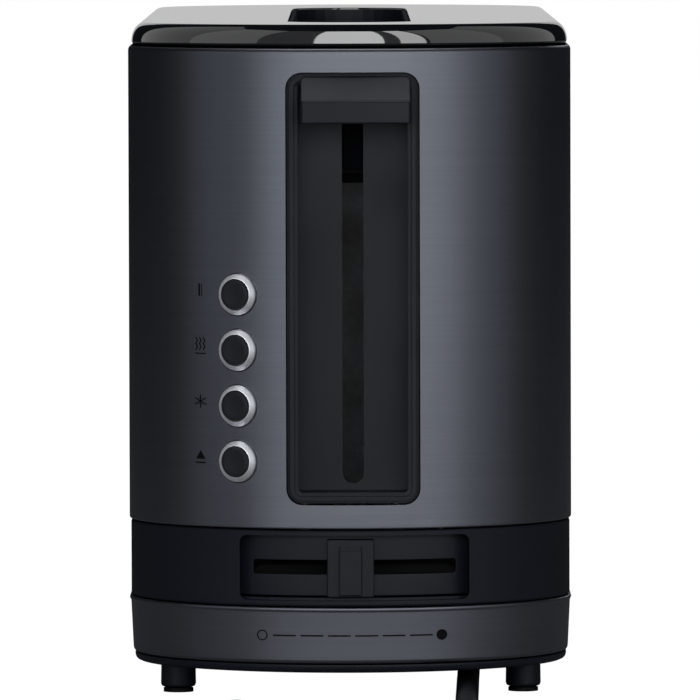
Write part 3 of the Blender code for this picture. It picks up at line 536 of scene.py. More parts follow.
def satin_chrome():
    """Die-cast zinc with satin chrome: bright, soft-edged reflections."""
    tint = bpy.context.scene.toaster_colours.silver
    material, place = new_finish("zinc_satin_chromed")
    grain = noise(material, place, 1800.0, 3.0)
    shade = blend(material, grain.outputs["Fac"], between(tint, 0.93), between(tint, 1.05))
    gloss = spread(material, grain.outputs["Fac"], 0.3, 0.7, 0.50, 0.58)
    return finish_with(
        material,
        Base_Color=shade.outputs["Result"],
        Metallic=1.0,
        Roughness=gloss.outputs["Result"],
    )


def moulded_rubber(name, tint, roughness=0.7):
    """Moulded rubber or soft PVC: dull, with a faint uneven bloom."""
    material, place = new_finish(name)
    bloom = add_node(
        material,
        "ShaderNodeTexNoise",
        {"Vector": place, "Scale": 160.0, "Detail": 6.0, "Roughness": 0.65},
    )
    grain = noise(material, place, 2200.0, 2.0)
    shade = blend(material, bloom.outputs["Fac"], between(tint, 0.8), between(tint, 1.3))
    gloss = spread(material, bloom.outputs["Fac"], 0.3, 0.7, roughness - 0.08, roughness + 0.08)
    bumps = bump(material, grain.outputs["Fac"], 0.3, 0.00003)
    return finish_with(
        material,
        Base_Color=shade.outputs["Result"],
        Roughness=gloss.outputs["Result"],
        Normal=bumps.outputs["Normal"],
    )


def plated_steel(name, light, dark, spangle=0.003, roughness=0.32):
    """Zinc- or nickel-plated steel: a bright metal with faint crystals and drawn lines."""
    material, place = new_finish(name)
    crystals = add_node(
        material,
        "ShaderNodeTexVoronoi",
        {"Vector": place, "Scale": 1.0 / spangle, "Randomness": 1.0},
    )
    stains = noise(material, place, 60.0, 5.0)
    both = add_node(
        material,
        "ShaderNodeMath",
        {0: crystals.outputs["Distance"], 1: stains.outputs["Fac"]},
        operation="MULTIPLY",
    )
    shade = blend(material, both.outputs["Value"], linear(light), linear(dark))
    gloss = spread(material, stains.outputs["Fac"], 0.3, 0.7, roughness - 0.06, roughness + 0.10)
    return finish_with(
        material,
        Base_Color=shade.outputs["Result"],
        Metallic=1.0,
        Roughness=gloss.outputs["Result"],
    )


def mica_sheet():
    """Bonded mica flakes, pressed into a board: amber-grey with pearly flecks."""
    material, place = new_finish("mica_board_pressed")
    flakes = add_node(
        material,
        "ShaderNodeTexVoronoi",
        {"Vector": place, "Scale": 400.0, "Randomness": 1.0},  # flakes of 2.5 mm
    )
    tone = add_node(
        material,
        "ShaderNodeSeparateColor",
        {"Color": flakes.outputs["Color"]},
    )
    shade = blend(material, tone.outputs["Red"], linear("8E7654"), linear("C2AC85"))
    gloss = add_node(
        material,
        "ShaderNodeMapRange",
        {"Value": tone.outputs["Green"], "To Min": 0.30, "To Max": 0.60},
    )
    return finish_with(
        material,
        Base_Color=shade.outputs["Result"],
        Roughness=gloss.outputs["Result"],
        Sheen_Weight=0.2,
    )


def wound_copper():
    """Enamelled copper wire in level layers: glossy reddish turns 0.4 mm apart."""
    material, place = new_finish("copper_wire_enamelled")
    turns = add_node(
        material,
        "ShaderNodeTexWave",
        {"Vector": place, "Scale": 125.0, "Distortion": 0.6, "Detail": 1.0},
        bands_direction="Z",
    )
    shade = blend(material, turns.outputs["Fac"], linear("5A2410"), linear("B85E30"))
    bumps = bump(material, turns.outputs["Fac"], 0.8, 0.0002)
    return finish_with(
        material,
        Base_Color=shade.outputs["Result"],
        Metallic=1.0,
        Roughness=0.35,
        Normal=bumps.outputs["Normal"],
        Coat_Weight=0.6,
    )


def circuit_laminate():
    """Glass-fibre laminate under green solder mask, with lighter copper tracks."""
    material, place = new_finish("glass_fibre_laminate_masked")
    tracks = add_node(
        material,
        "ShaderNodeTexBrick",
        {
            "Vector": place,
            "Scale": 60.0,
            "Color1": linear("12502A"),
            "Color2": linear("0E4424"),
            "Mortar": linear("1C7A40"),
            "Mortar Size": 0.03,
        },
    )
    weave = noise(material, place, 900.0, 3.0)
    gloss = add_node(
        material,
        "ShaderNodeMapRange",
        {"Value": weave.outputs["Fac"], "To Min": 0.25, "To Max": 0.5},
    )
    return finish_with(
        material,
        Base_Color=tracks.outputs["Color"],
        Roughness=gloss.outputs["Result"],
        Coat_Weight=0.4,
    )


FINISHES = {}


def finish(name):
    """The finish for a material slot, made when it is first asked for."""
    shades = bpy.context.scene.toaster_colours
    makers = {
        "gunmetal_steel": brushed_stainless,
        "gloss_black": polished_black,
        "black_plastic": lambda: satin_abs("black_abs_satin", shades.plastic, 0.42),
        "black_metal": lambda: satin_abs("black_abs_grained", shades.plastic, 0.55, 0.0009, 0.4),
        "satin_silver": satin_chrome,
        "zinc_steel": lambda: plated_steel("steel_zinc_plated", "B9BCC0", "7F8388"),
        # Near-black steel for parts seen only through the slots: painted shade, standing in for the dark
        # inside of the slots.
        "slot_shade_steel": lambda: plated_steel("steel_darkened_as_slot_shade", "121316", "08090A", 0.003, 0.6),
        # Near-black for the carriage block and resistor case behind the slots: painted shade for the dark
        # inside of the slots.
        "slot_shade_black": lambda: satin_abs("black_phenolic_darkened_as_slot_shade", linear("030304"), 0.85),
        "button_black": lambda: satin_abs("black_abs_buttons", linear("3A3E42"), 0.55),
        "wire_steel": lambda: plated_steel("steel_wire_nickel_plated", "D2D0CB", "94918B", 0.0015, 0.25),
        "aluminium_sheet": lambda: plated_steel("aluminium_sheet_rolled", "C9CBCE", "9DA0A4", 0.006, 0.38),
        "coil_copper": wound_copper,
        "mica": mica_sheet,
        "circuit_board": circuit_laminate,
        "relay_case": lambda: satin_abs("blue_pbt_moulded", linear("10234F"), 0.4),
        "cord_black": lambda: moulded_rubber("black_pvc_extruded", shades.lead, 0.46),
        "black_rubber": lambda: moulded_rubber("black_rubber_moulded", shades.rubber),
        "brass": lambda: plated_steel("brass_nickel_plated", "D8D2BF", "A79F88", 0.002, 0.22),
        "ribbon": lambda: plated_steel("nickel_chrome_ribbon", "8C8580", "5C5048", 0.004, 0.35),
        "printing": lambda: satin_abs("black_ink_pad_printed", shades.print, 0.85),
    }
    if name not in FINISHES:
        FINISHES[name] = makers[name]()
    return FINISHES[name]


# Operators, one for each piece or group of like pieces.


class ToasterOperator(bpy.types.Operator):
    bl_options = {"REGISTER", "UNDO"}


class TOASTER_OT_stage(ToasterOperator):
    """Adds the pale floor, the soft lights and the camera"""

    bl_idname = "toaster.stage"
    bl_label = "Stage"

    def area(self, name, place, target, size, power, tint=(1, 1, 1), receivers="all_but_cover"):
        data = bpy.data.lights.new(name, "AREA")
        data.shape = "RECTANGLE"
        data.size, data.size_y = size
        data.energy = power
        data.color = tint
        lamp = bpy.data.objects.new(name, data)
        bpy.context.scene.collection.objects.link(lamp)
        way = Vector(target) - Vector(place)
        lamp.matrix_world = Matrix.Translation(place) @ way.to_track_quat("-Z", "Y").to_matrix().to_4x4()
        lamp.visible_camera = False
        lamp.light_linking.receiver_collection = bpy.data.collections[receivers]
        return lamp

    def world(self):
        world = bpy.data.worlds.new("soft_studio")
        world.use_nodes = True
        tree = world.node_tree
        tree.nodes.clear()
        path = tree.nodes.new("ShaderNodeLightPath")
        pale = tree.nodes.new("ShaderNodeBackground")
        pale.inputs["Color"].default_value = (1, 1, 1, 1)
        dim = tree.nodes.new("ShaderNodeBackground")
        dim.inputs["Color"].default_value = linear("C9D0E0")
        dim.inputs["Strength"].default_value = 0.012
        mix = tree.nodes.new("ShaderNodeMixShader")
        out = tree.nodes.new("ShaderNodeOutputWorld")
        tree.links.new(path.outputs["Is Camera Ray"], mix.inputs["Fac"])
        tree.links.new(dim.outputs["Background"], mix.inputs[1])
        tree.links.new(pale.outputs["Background"], mix.inputs[2])
        tree.links.new(mix.outputs["Shader"], out.inputs["Surface"])
        bpy.context.scene.world = world

    def floor(self):
        floor = start("plane", "floor", size=16.0)
        enter(floor)
        bpy.ops.mesh.select_all(action="SELECT")
        bpy.ops.mesh.subdivide(number_cuts=3)
        leave()
        material = bpy.data.materials.new("white_paper_seamless")
        material.use_nodes = True
        material.node_tree.nodes.clear()
        path = add_node(material, "ShaderNodeLightPath")
        matt = add_node(
            material,
            "ShaderNodeBsdfPrincipled",
            {"Base Color": linear("8C8C90"), "Roughness": 0.9, "Specular IOR Level": 0.1},
        )
        glow = add_node(material, "ShaderNodeEmission", {"Color": (1, 1, 1, 1), "Strength": 1.2})
        share = add_node(
            material,
            "ShaderNodeMath",
            {0: path.outputs["Is Camera Ray"], 1: 0.85},
            operation="MULTIPLY",
        )
        mixed = add_node(
            material,
            "ShaderNodeMixShader",
            {"Fac": share.outputs["Value"], 1: matt.outputs["BSDF"], 2: glow.outputs["Emission"]},
        )
        add_node(material, "ShaderNodeOutputMaterial", {"Surface": mixed.outputs["Shader"]})
        floor.data.materials.append(material)

    def camera(self):
        data = bpy.data.cameras.new("camera")
        data.sensor_width = 36.0
        data.lens = 525.0
        data.clip_end = 100.0
        camera = bpy.data.objects.new("camera", data)
        bpy.context.scene.collection.objects.link(camera)
        place = Vector((0.0, FRONT - 3.01, 0.2535))
        aim_point = Vector((0.0, FRONT, 0.106))
        turn = (aim_point - place).to_track_quat("-Z", "Y").to_matrix().to_4x4()
        roll = Matrix.Rotation(math.radians(-0.15), 4, "Z")
        camera.matrix_world = Matrix.Translation(place) @ turn @ roll
        bpy.context.scene.camera = camera

    def execute(self, context):
        context.scene.view_settings.view_transform = "Standard"
        context.scene.view_settings.look = "None"
        self.world()
        self.floor()
        self.camera()
        for name in ("cover_only", "all_but_cover", "rings_only"):
            bpy.data.collections.new(name)
        core = (0.0, FRONT, 0.12)
        self.area("front_softbox", (0.25, -2.7, 0.36), core, (5.6, 1.2), 25.5, (0.94, 0.97, 1.0))
        self.area("top_softbox", (0.0, 0.0, 1.9), (0, 0, 0.1), (1.4, 1.4), 7.0)
        self.area("left_fill", (-2.9, -1.3, 0.5), core, (1.6, 1.2), 1.6, (0.86, 0.93, 1.0))
        self.area("right_fill", (2.9, -1.3, 0.5), core, (1.6, 1.2), 1.6, (0.86, 0.93, 1.0))
        self.area("rear_fill", (0.9, 2.6, 1.3), (0, 0.1, 0.1), (1.2, 0.8), 3.0)
        self.area("ring_card", (-1.6, -2.6, 0.9), core, (1.6, 1.4), 130.0, receivers="rings_only")
        self.cards()
        return {"FINISHED"}

    def cards(self):
        """Upright white cards that only the gloss cover mirrors, by bearing from its lever end."""
        cards = (
            # name, bearing, half its spread, radiance
            ("card_front", 0.0, 17.0, 4.6),
            ("card_right", 31.5, 6.5, 3.4),
            ("card_far_right", 62.0, 22.0, 0.62),
            ("card_far_left", -67.0, 21.0, 0.7),
            ("card_left_gap", -31.5, 14.5, 0.2),
            ("card_right_gap", 21.2, 4.0, 0.2),
            ("card_left_side", -114.0, 26.0, 0.4),
            ("card_right_side", 110.0, 26.0, 0.4),
        )
        reach, tall = 2.5, 5.0
        for name, bearing, spread, radiance in cards:
            turn = math.radians(bearing)
            foot = Vector((reach * math.sin(turn), FRONT - reach * math.cos(turn), 0))
            place = foot + Vector((0, 0, tall / 2))
            wide = 2 * reach * math.tan(math.radians(spread))
            power = radiance * math.pi * wide * tall
            target = (0, FRONT, tall / 2)
            self.area(name, place, target, (wide, tall), power, receivers="cover_only")
        behind = (0, 2.8, 0.7)
        self.area("card_behind", behind, (0, 0, 0.7), (1.6, 1.4), 3.6, receivers="cover_only")


class TOASTER_OT_mains_lead(ToasterOperator):
    """Lays the mains lead from its sleeve to the coil in front, with its plug"""

    bl_idname = "toaster.mains_lead"
    bl_label = "Mains lead"

    lead_points = (
        (0.0362, -0.0750, 0.0050),
        (0.0361, -0.0900, 0.0046),
        (0.0358, -0.1080, 0.0037),
        (0.0354, -0.1300, 0.0035),
        (0.0350, -0.1550, 0.0035),
        (0.0346, -0.1800, 0.0035),
        (0.0342, -0.2050, 0.0035),
        (0.0339, -0.2350, 0.0035),
        (0.0337, -0.2650, 0.0035),
        (0.0336, -0.2950, 0.0035),
        (0.0335, -0.3250, 0.0037),
        (0.0335, -0.3450, 0.0041),
        (0.0335, -0.3626, 0.0045),
    )
    tail_points = (
        (-0.0286, -0.4250, 0.0114),
        (-0.0370, -0.4243, 0.0109),
        (-0.0465, -0.4209, 0.0102),
        (-0.0545, -0.4150, 0.0093),
        (-0.0600, -0.4070, 0.0085),
        (-0.0625, -0.3985, 0.0078),
        (-0.0628, -0.3900, 0.0073),
    )

    def coil_points(self, sizes):
        """The coil's turns: outer, inner, up, inner, outer, each crossing eased over an arc."""
        turn = math.tau
        outer, inner = sizes.coil_radius, sizes.coil_radius - sizes.coil_pitch
        arc = 1.1
        go_in, go_up, go_out = turn - 1.6, 2 * turn - 2.5, 3 * turn - 3.7
        end = 3.25 * turn
        count = 82

        def eased(angle, begin):
            t = min(max((angle - begin) / arc, 0.0), 1.0)
            return t * t * (3 - 2 * t)

        points = []
        for i in range(count + 1):
            angle = end * i / count
            inwards = eased(angle, go_in) - eased(angle, go_out)
            radius = outer + (inner - outer) * inwards
            height = sizes.low_turns + sizes.coil_pitch * eased(angle, go_up)
            x = sizes.coil_x + radius * math.cos(-angle)
            y = sizes.coil_y + radius * math.sin(-angle)
            points.append((x, y, height))
        return points

    def lead(self, sizes):
        points = [*self.lead_points, *self.coil_points(sizes), *self.tail_points]
        curve = bpy.data.curves.new("mains_lead", "CURVE")
        curve.dimensions = "3D"
        curve.bevel_depth = sizes.radius
        curve.bevel_resolution = 5
        curve.resolution_u = 5
        curve.use_fill_caps = True
        spline = curve.splines.new("BEZIER")
        spline.bezier_points.add(len(points) - 1)
        for knot, place in zip(spline.bezier_points, points):
            knot.co = place
            knot.handle_left_type = knot.handle_right_type = "AUTO"
        lead = bpy.data.objects.new("mains_lead", curve)
        bpy.context.scene.collection.objects.link(lead)
        curve.materials.append(finish("cord_black"))
        run = sum((Vector(a) - Vector(b)).length for a, b in zip(points, points[1:]))
        return lead, points, run

    def sleeve(self):
        """The tapered sleeve with its flexing grooves, and the block that holds it."""
        x, y, z = self.lead_points[0]
        low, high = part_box("strain_relief")
        tip, taper = y + FINE, 0.024
        profile = [(0.0034, 0.0), (0.0038, 0.0), (0.0040, 0.0004)]
        grooves = 5
        for i in range(grooves):
            at = 0.0022 + i * 0.0034
            wide = 0.0040 + 0.0006 * at / taper
            profile += [(wide, at), (wide, at + 0.0016)]
            profile += [(wide - 0.0007, at + 0.0019), (wide - 0.0007, at + 0.0029)]
        profile += [(0.0046, 0.0200), (0.0047, taper)]
        sleeve = round_form("cord_sleeve", profile, (x, tip, z), (0, 1, 0), 40)
        anchor = block("cord_anchor", (low.x, tip + taper, low.z), high, 0.0014)
        settle(sleeve, "housing", finish("black_rubber"), ["strain_relief"])
        settle(anchor, "housing", finish("black_rubber"), [], 0.0006, 3)
        return sleeve, anchor

    def plug(self):
        """A moulded two-blade plug: a round neck that swells into a flattened body."""
        low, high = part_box("plug_body")
        x, z = (low.x + high.x) / 2, (low.z + high.z) / 2
        wide, tall = (high.x - low.x) / 2, (high.z - low.z) / 2
        length_y = high.y - low.y
        body = start(
            "cylinder", "plug_moulding", vertices=48, radius=0.0043, depth=0.001, end_fill_type="NGON"
        )
        enter(body)
        pick(lambda face: face.normal.z > 0.9, "FACE")
        stations = (
            (0.0060, 0.0045, 0.0045),
            (0.0100, 0.0049, 0.0049),
            (0.0130, 0.0072, 0.0058),
            (0.0160, 0.0098, 0.0066),
            (0.0195, wide, tall),
            (0.0225, wide, tall),
            (0.0230, wide - 0.0006, tall - 0.0006),
            (0.0240, wide - 0.0006, tall - 0.0006),
            (0.0245, wide, tall),
            (0.0265, wide, tall),
            (0.0270, wide - 0.0006, tall - 0.0006),
            (0.0280, wide - 0.0006, tall - 0.0006),
            (0.0285, wide, tall),
            (length_y - 0.0016, wide, tall),
            (length_y - 0.0004, wide - 0.0006, tall - 0.0006),
            (length_y, wide - 0.0018, tall - 0.0018),
        )
        height, half_x, half_z = 0.0005, 0.0043, 0.0043
        for station, new_x, new_z in stations:
            rise = station - 0.0005 - height
            bpy.ops.mesh.extrude_region_move(TRANSFORM_OT_translate={"value": (0, 0, rise)})
            scale = (new_x / half_x, new_z / half_z, 1)
            bpy.ops.transform.resize(value=scale, center_override=(0, 0, height + rise))
            height, half_x, half_z = height + rise, new_x, new_z
        leave()
        lying = Matrix.Rotation(-math.pi / 2, 4, "X")
        body.matrix_world = Matrix.Translation((x, low.y + 0.0005, z)) @ lying
        only(body)
        bpy.ops.object.transform_apply(location=True, rotation=True, scale=True)
        settle(body, "housing", finish("cord_black"), ["plug_body"], crease=50)
        blades = []
        for side in ("left", "right"):
            node = f"plug_blade_{side}"
            near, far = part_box(node)
            blade = block(f"contact_{side}", near, far, 0.0012, 0, 4)
            middle = ((near.x + far.x) / 2, far.y - 0.0040, (near.z + far.z) / 2)
            drill = start(
                "cylinder",
                "hole",
                vertices=24,
                radius=0.0015,
                depth=0.01,
                location=middle,
                rotation=(0, math.pi / 2, 0),
            )
            cut(blade, drill)
            settle(blade, "housing", finish("brass"), [node], 0.0002, 2)
            blades.append(blade)
        return body, blades

    def execute(self, context):
        sizes = context.scene.toaster_lead
        lead, points, run = self.lead(sizes)
        sleeve, anchor = self.sleeve()
        body, blades = self.plug()
        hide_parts("mains_cord", "plug_cord", "cord_coil")
        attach(lead, "housing")
        return {"FINISHED"}


class TOASTER_OT_steel_shell(ToasterOperator):
    """Makes the brushed steel shell with its lever and button openings"""

    bl_idname = "toaster.steel_shell"
    bl_label = "Steel shell"

    def execute(self, context):
        sizes = context.scene.toaster_casing
        lever = context.scene.toaster_lever
        buttons = context.scene.toaster_buttons
        low, high, wall = SHELL_LOW.z, SHELL_HIGH.z, sizes.steel_wall
        profile = [
            (0.0004, low),
            (0.0001, low + 0.0002),
            (0.0, low + 0.0006),
            (0.0, high - 0.0012),
            (0.0001, high - 0.0007),
            (0.0004, high - 0.0002),
            (0.0007, high),
            (wall, high),
            (wall, low),
        ]
        shell = casing("steel_shell", profile)
        half = lever.recess_width / 2
        opening = block(
            "opening",
            (lever.recess_x - half, FRONT - 0.02, lever.recess_low),
            (lever.recess_x + half, FRONT + 0.03, lever.recess_high),
            lever.recess_corner,
        )
        cut(shell, opening)
        place, out = button_place(context)
        for index in range(buttons.count):
            centre = place - Vector((0, 0, index * buttons.pitch))
            drill = start("cylinder", "drill", vertices=48, radius=buttons.ring_radius + FINE, depth=0.024)
            cut(shell, aim(drill, centre, out))
        settle(
            shell, "housing", finish("gunmetal_steel"), ["body_shell"], 0.00018, 2
        )
        return {"FINISHED"}


def button_place(context):
    """The top button's place on the shell, and its outward direction."""
    x = context.scene.toaster_buttons.place_x
    y = front_y(x)
    half_width, depth, straight, middle = casing_plan()
    across = Vector((x / half_width**2, (y - (middle - straight)) / depth**2, 0)).normalized()
    return Vector((x, y, context.scene.toaster_buttons.top_z)), across


class TOASTER_OT_printing(ToasterOperator):
    """Prints the plain signs beside the buttons and the browning scale on the base ring"""

    bl_idname = "toaster.printing"
    bl_label = "Printed signs"

    film = 0.00004  # how far the ink stands proud
    deep = 0.045

    def bar(self, x, z, width, height, turn=0.0):
        shape = start(
            "cube",
            "bar",
            size=1,
            location=(x, FRONT + self.deep / 2 - 0.005, z),
            scale=(width, self.deep, height),
        )
        if turn:
            centre = Matrix.Translation((x, 0, z))
            shape.matrix_world = centre @ Matrix.Rotation(turn, 4, "Y") @ centre.inverted()
            only(shape)
            bpy.ops.object.transform_apply(location=True, rotation=True, scale=True)
        return shape

    def pillar(self, x, z, radius, points=32, hollow=0.0, turn=0.0):
        profile = [(radius, 0), (radius, self.deep)]
        if hollow:
            profile += [(radius - hollow, self.deep), (radius - hollow, 0)]
        shape = round_form("dot", profile, points=points, ends="bridged" if hollow else "capped")
        spin = Matrix.Rotation(-math.pi / 2, 4, "X") @ Matrix.Rotation(turn, 4, "Z")
        shape.matrix_world = Matrix.Translation((x, FRONT - 0.005, z)) @ spin
        only(shape)
        bpy.ops.object.transform_apply(location=True, rotation=True, scale=True)
        return shape

    def steam(self, x, z, width, height):
        """One rising wave: four short strokes that lean to either side by turns."""
        step = height / 4
        return [
            self.bar(x, z + (row - 1.5) * step, width, step * 1.25, math.radians(30 - 60 * (row % 2)))
            for row in range(4)
        ]

    def on_skin(self, name, shapes, profile):
        """Keeps only what the shapes have in common with a thin skin on the casing."""
        skin = casing(name, profile)
        marks = []
        for index, shape in enumerate(shapes):
            mark = another(skin, f"mark_{index}", (0, 0, 0))
            cut(mark, shape, "INTERSECT")
            marks.append(mark)
        bpy.data.objects.remove(skin, do_unlink=True)
        skin = join(name, marks)
        settle(skin, "housing", finish("printing"), [], 0, crease=50)

    def execute(self, context):
        buttons = context.scene.toaster_buttons
        x, top = buttons.place_x - 0.0111, buttons.top_z
        rows = [top - 0.0005 - index * buttons.pitch for index in range(4)]
        z = rows[0] + 0.0017
        shapes = [self.bar(x - 0.0003, z, 0.00050, 0.0037), self.bar(x + 0.00045, z, 0.00022, 0.0037)]
        z = rows[1] + 0.0022
        for across in (-0.0011, 0, 0.0011):
            shapes += self.steam(x + across, z, 0.00034, 0.0037)
        shapes.append(self.bar(x, rows[1] - 0.0007, 0.0032, 0.00036))
        z = rows[2] + 0.0016
        shapes += [self.bar(x, z, 0.00030, 0.0040, math.radians(turn)) for turn in (0, 60, 120)]
        shapes.append(self.pillar(x, z, 0.0011, 6, 0.0002))
        z = rows[3] + 0.0018
        shapes.append(self.pillar(x, z, 0.0017, 3, 0, math.radians(60)))
        shapes.append(self.bar(x, z - 0.0019, 0.0030, 0.00045))
        low, high = rows[3] - 0.008, rows[0] + 0.008
        profile = [(-self.film, low), (-self.film, high), (0.0003, high), (0.0003, low)]
        self.on_skin("button_signs", shapes, profile)

        z = RING_LOW.z + 0.0083
        dash, gap, first = 0.0068, 0.0013, -0.0230
        shapes = [self.pillar(-0.0262, z, 0.0016, 32, 0.00036), self.pillar(0.0270, z, 0.0016)]
        for index in range(6):
            shapes.append(self.bar(first + dash / 2 + index * (dash + gap), z, dash, 0.00046))
        taper = context.scene.toaster_casing.ring_taper
        foot, top_inset = 0.0001 + taper, 0.0004
        low, high = RING_LOW.z, RING_HIGH.z - 0.0015
        profile = [
            (foot - self.film, low),
            (top_inset - self.film, high),
            (top_inset + 0.0003, high),
            (foot + 0.0003, low),
        ]
        self.on_skin("browning_scale", shapes, profile)
        return {"FINISHED"}


class TOASTER_OT_gloss_cover(ToasterOperator):
    """Makes the gloss black cover, curved over its edge, with the bread slot through it"""

    bl_idname = "toaster.gloss_cover"
    bl_label = "Gloss cover"

    def execute(self, context):
        sizes = context.scene.toaster_casing
        low, high, reach = COVER_LOW.z, COVER_HIGH.z, sizes.cover_round
        steps = 16
        edge = sizes.cover_inset
        profile = [
            (edge + reach, high - 0.0022),
            (edge + 0.0032, low),
            (edge + 0.0009, low),
            (edge + 0.0003, low + 0.0003),
        ]
        for i in range(steps + 1):
            angle = math.pi / 2 * i / steps
            inset = edge + reach * (1 - math.cos(angle))
            profile.append((inset, low + 0.001 + (high - low - 0.001) * math.sin(angle)))
        profile += [(edge + reach + 0.0008, high), (edge + reach + 0.0030, high)]
        cover = casing("gloss_cover", profile, "capped")
        margin = 0.0015
        half = sizes.slot_width / 2 + margin
        near = FRONT + sizes.slot_front - margin
        far = near + sizes.slot_length + 2 * margin
        slot = block("slot", (-half, near, low - 0.02), (half, far, high + 0.02), half * 0.94, 2, 14)
        cut(cover, slot)
        settle(cover, "housing", finish("gloss_black"), ["top_cover"], 0.0006, 3)
        light_by_group(cover, "cover_only", "INCLUDE")
        light_by_group(cover, "all_but_cover", "EXCLUDE")
        return {"FINISHED"}


class TOASTER_OT_black_band(ToasterOperator):
    """Makes the black band with the slider's opening, and the crumb tray's door behind"""

    bl_idname = "toaster.black_band"
    bl_label = "Black band"

    def execute(self, context):
        sizes = context.scene.toaster_casing
        slider = context.scene.toaster_slider
        low, high, inset = BAND_LOW.z, BAND_HIGH.z, sizes.band_inset
        wall = sizes.band_inset + sizes.band_wall
        profile = [
            (inset + 0.0004, low),
            (inset, low + 0.0005),
            (inset, high - 0.0007),
            (inset + 0.0002, high - 0.0002),
            (inset + 0.0006, high),
            (wall, high),
            (wall, low),
        ]
        band = casing("black_band", profile)
        middle = (low + high) / 2
        half, tall = slider.width / 2, slider.height / 2
        opening = block(
            "opening",
            (slider.place_x - half, FRONT - 0.02, middle - tall),
            (slider.place_x + half, FRONT + 0.03, middle + tall),
            slider.corner,
        )
        cut(band, opening)
        doorway = block(
            "doorway",
            (DOOR_LOW.x - FINE, REAR - sizes.end_depth, DOOR_LOW.z - FINE),
            (DOOR_HIGH.x + FINE, REAR + 0.02, DOOR_HIGH.z + FINE),
            0.0006,
        )
        cut(band, doorway)
        settle(band, "housing", finish("black_metal"), ["base_band"], 0.0003, 2)

        profile = [(inset, DOOR_LOW.z), (inset, DOOR_HIGH.z)]
        door = casing("crumb_door", profile, "capped")
        keep = block("keep", DOOR_LOW - Vector((0, 0, 0.01)), DOOR_HIGH + Vector((0, 0.01, 0.01)), 0.0004)
        cut(door, keep, "INTERSECT")
        pull = block(
            "pull",
            (-0.016, REAR - 0.006, DOOR_LOW.z - 0.01),
            (0.016, REAR + 0.01, DOOR_LOW.z + 0.004),
            0.0025,
        )
        cut(door, pull)
        settle(door, "tray", finish("black_plastic"), ["crumb_tray_handle"], 0.0004, 3)
        return {"FINISHED"}


class TOASTER_OT_base(ToasterOperator):
    """Makes the tapered steel base ring, the vented base plate, its screws and the feet"""

    bl_idname = "toaster.base"
    bl_label = "Base"

    def ring(self, sizes):
        low, high, wall = RING_LOW.z, RING_HIGH.z, sizes.steel_wall
        foot = 0.0001 + sizes.ring_taper
        profile = [
            (foot + 0.0009, low),
            (foot + 0.0004, low + 0.0001),
            (foot + 0.0001, low + 0.0005),
            (foot - 0.00005, low + 0.0012),
            (0.0004, high - 0.0015),
            (0.0001, high - 0.0010),
            (0.0, high - 0.0006),
            (0.0001, high - 0.0002),
            (0.0004, high),
            (wall + 0.0004, high),
            (foot + wall + 0.0004, low),
        ]
        ring = casing("steel_base_ring", profile)
        settle(ring, "housing", finish("gunmetal_steel"), ["base_ring"])

    def plate(self, sizes):
        low, high = PLATE_LOW.z, PLATE_HIGH.z
        inset = sizes.ring_taper + 0.0006
        profile = [
            (inset + 0.0022, low),
            (inset + 0.0014, low + 0.0001),
            (inset + 0.0007, low + 0.0004),
            (inset + 0.0003, low + 0.0008),
            (inset, low + 0.0016),
            (inset, high),
        ]
        plate = casing("base_plate", profile, "capped")
        vents = []
        half = Vector((0.009, 0.0014, 0))
        for row, x in enumerate((-0.0225, 0.0, 0.0225)):
            for index in range(12):
                y = MIDDLE_Y - 0.066 + index * 0.012
                foot = Vector((x, y, low - 0.01)) - half
                top = Vector((x, y, low + 0.0018)) + half
                vents.append(block(f"vent_{row}_{index}", foot, top, 0.0013, 2, 4))
        cut(plate, join("vents", vents))
        settle(plate, "housing", finish("black_plastic"), ["bottom_plate"], 0.0002, 2)

    def screws(self):
        """Pan-head screws with a cross recess, in the base plate."""
        heads = []
        for x in (-0.036, 0.036):
            for y in (FRONT + 0.045, MIDDLE_Y + 0.09, REAR - 0.045):
                profile = [(0.0030, 0.0), (0.0030, 0.0004), (0.0026, 0.0010), (0.0016, 0.0014)]
                head = round_form("screw", profile, (x, y, PLATE_LOW.z), (0, 0, -1), 32)
                tools = []
                for wide, deep in ((0.0014, 0.0003), (0.0003, 0.0014)):
                    low = (x - wide, y - deep, PLATE_LOW.z - 0.003)
                    high = (x + wide, y + deep, PLATE_LOW.z - 0.0006)
                    tools.append(block("slot", low, high))
                for tool in tools:
                    cut(head, tool)
                heads.append(head)
        screws = join("base_screws", heads)
        settle(screws, "housing", finish("zinc_steel"))

    def feet(self):
        for end in ("front", "rear"):
            for side in ("left", "right"):
                node = f"foot_{end}_{side}"
                low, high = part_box(node)
                radius = (high.x - low.x) / 2
                x, y = (low.x + high.x) / 2, (low.y + high.y) / 2
                profile = [
                    (radius - 0.0010, low.z),
                    (radius - 0.0003, low.z + 0.0003),
                    (radius, low.z + 0.0010),
                    (radius - 0.0001, high.z - 0.0008),
                    (radius, high.z),
                ]
                foot = round_form(f"{node}_post", profile, (x, y, 0))
                settle(foot, "housing", finish("black_plastic"), [node])

    def execute(self, context):
        sizes = context.scene.toaster_casing
        self.ring(sizes)
        self.plate(sizes)
        self.screws()
        self.feet()
        return {"FINISHED"}


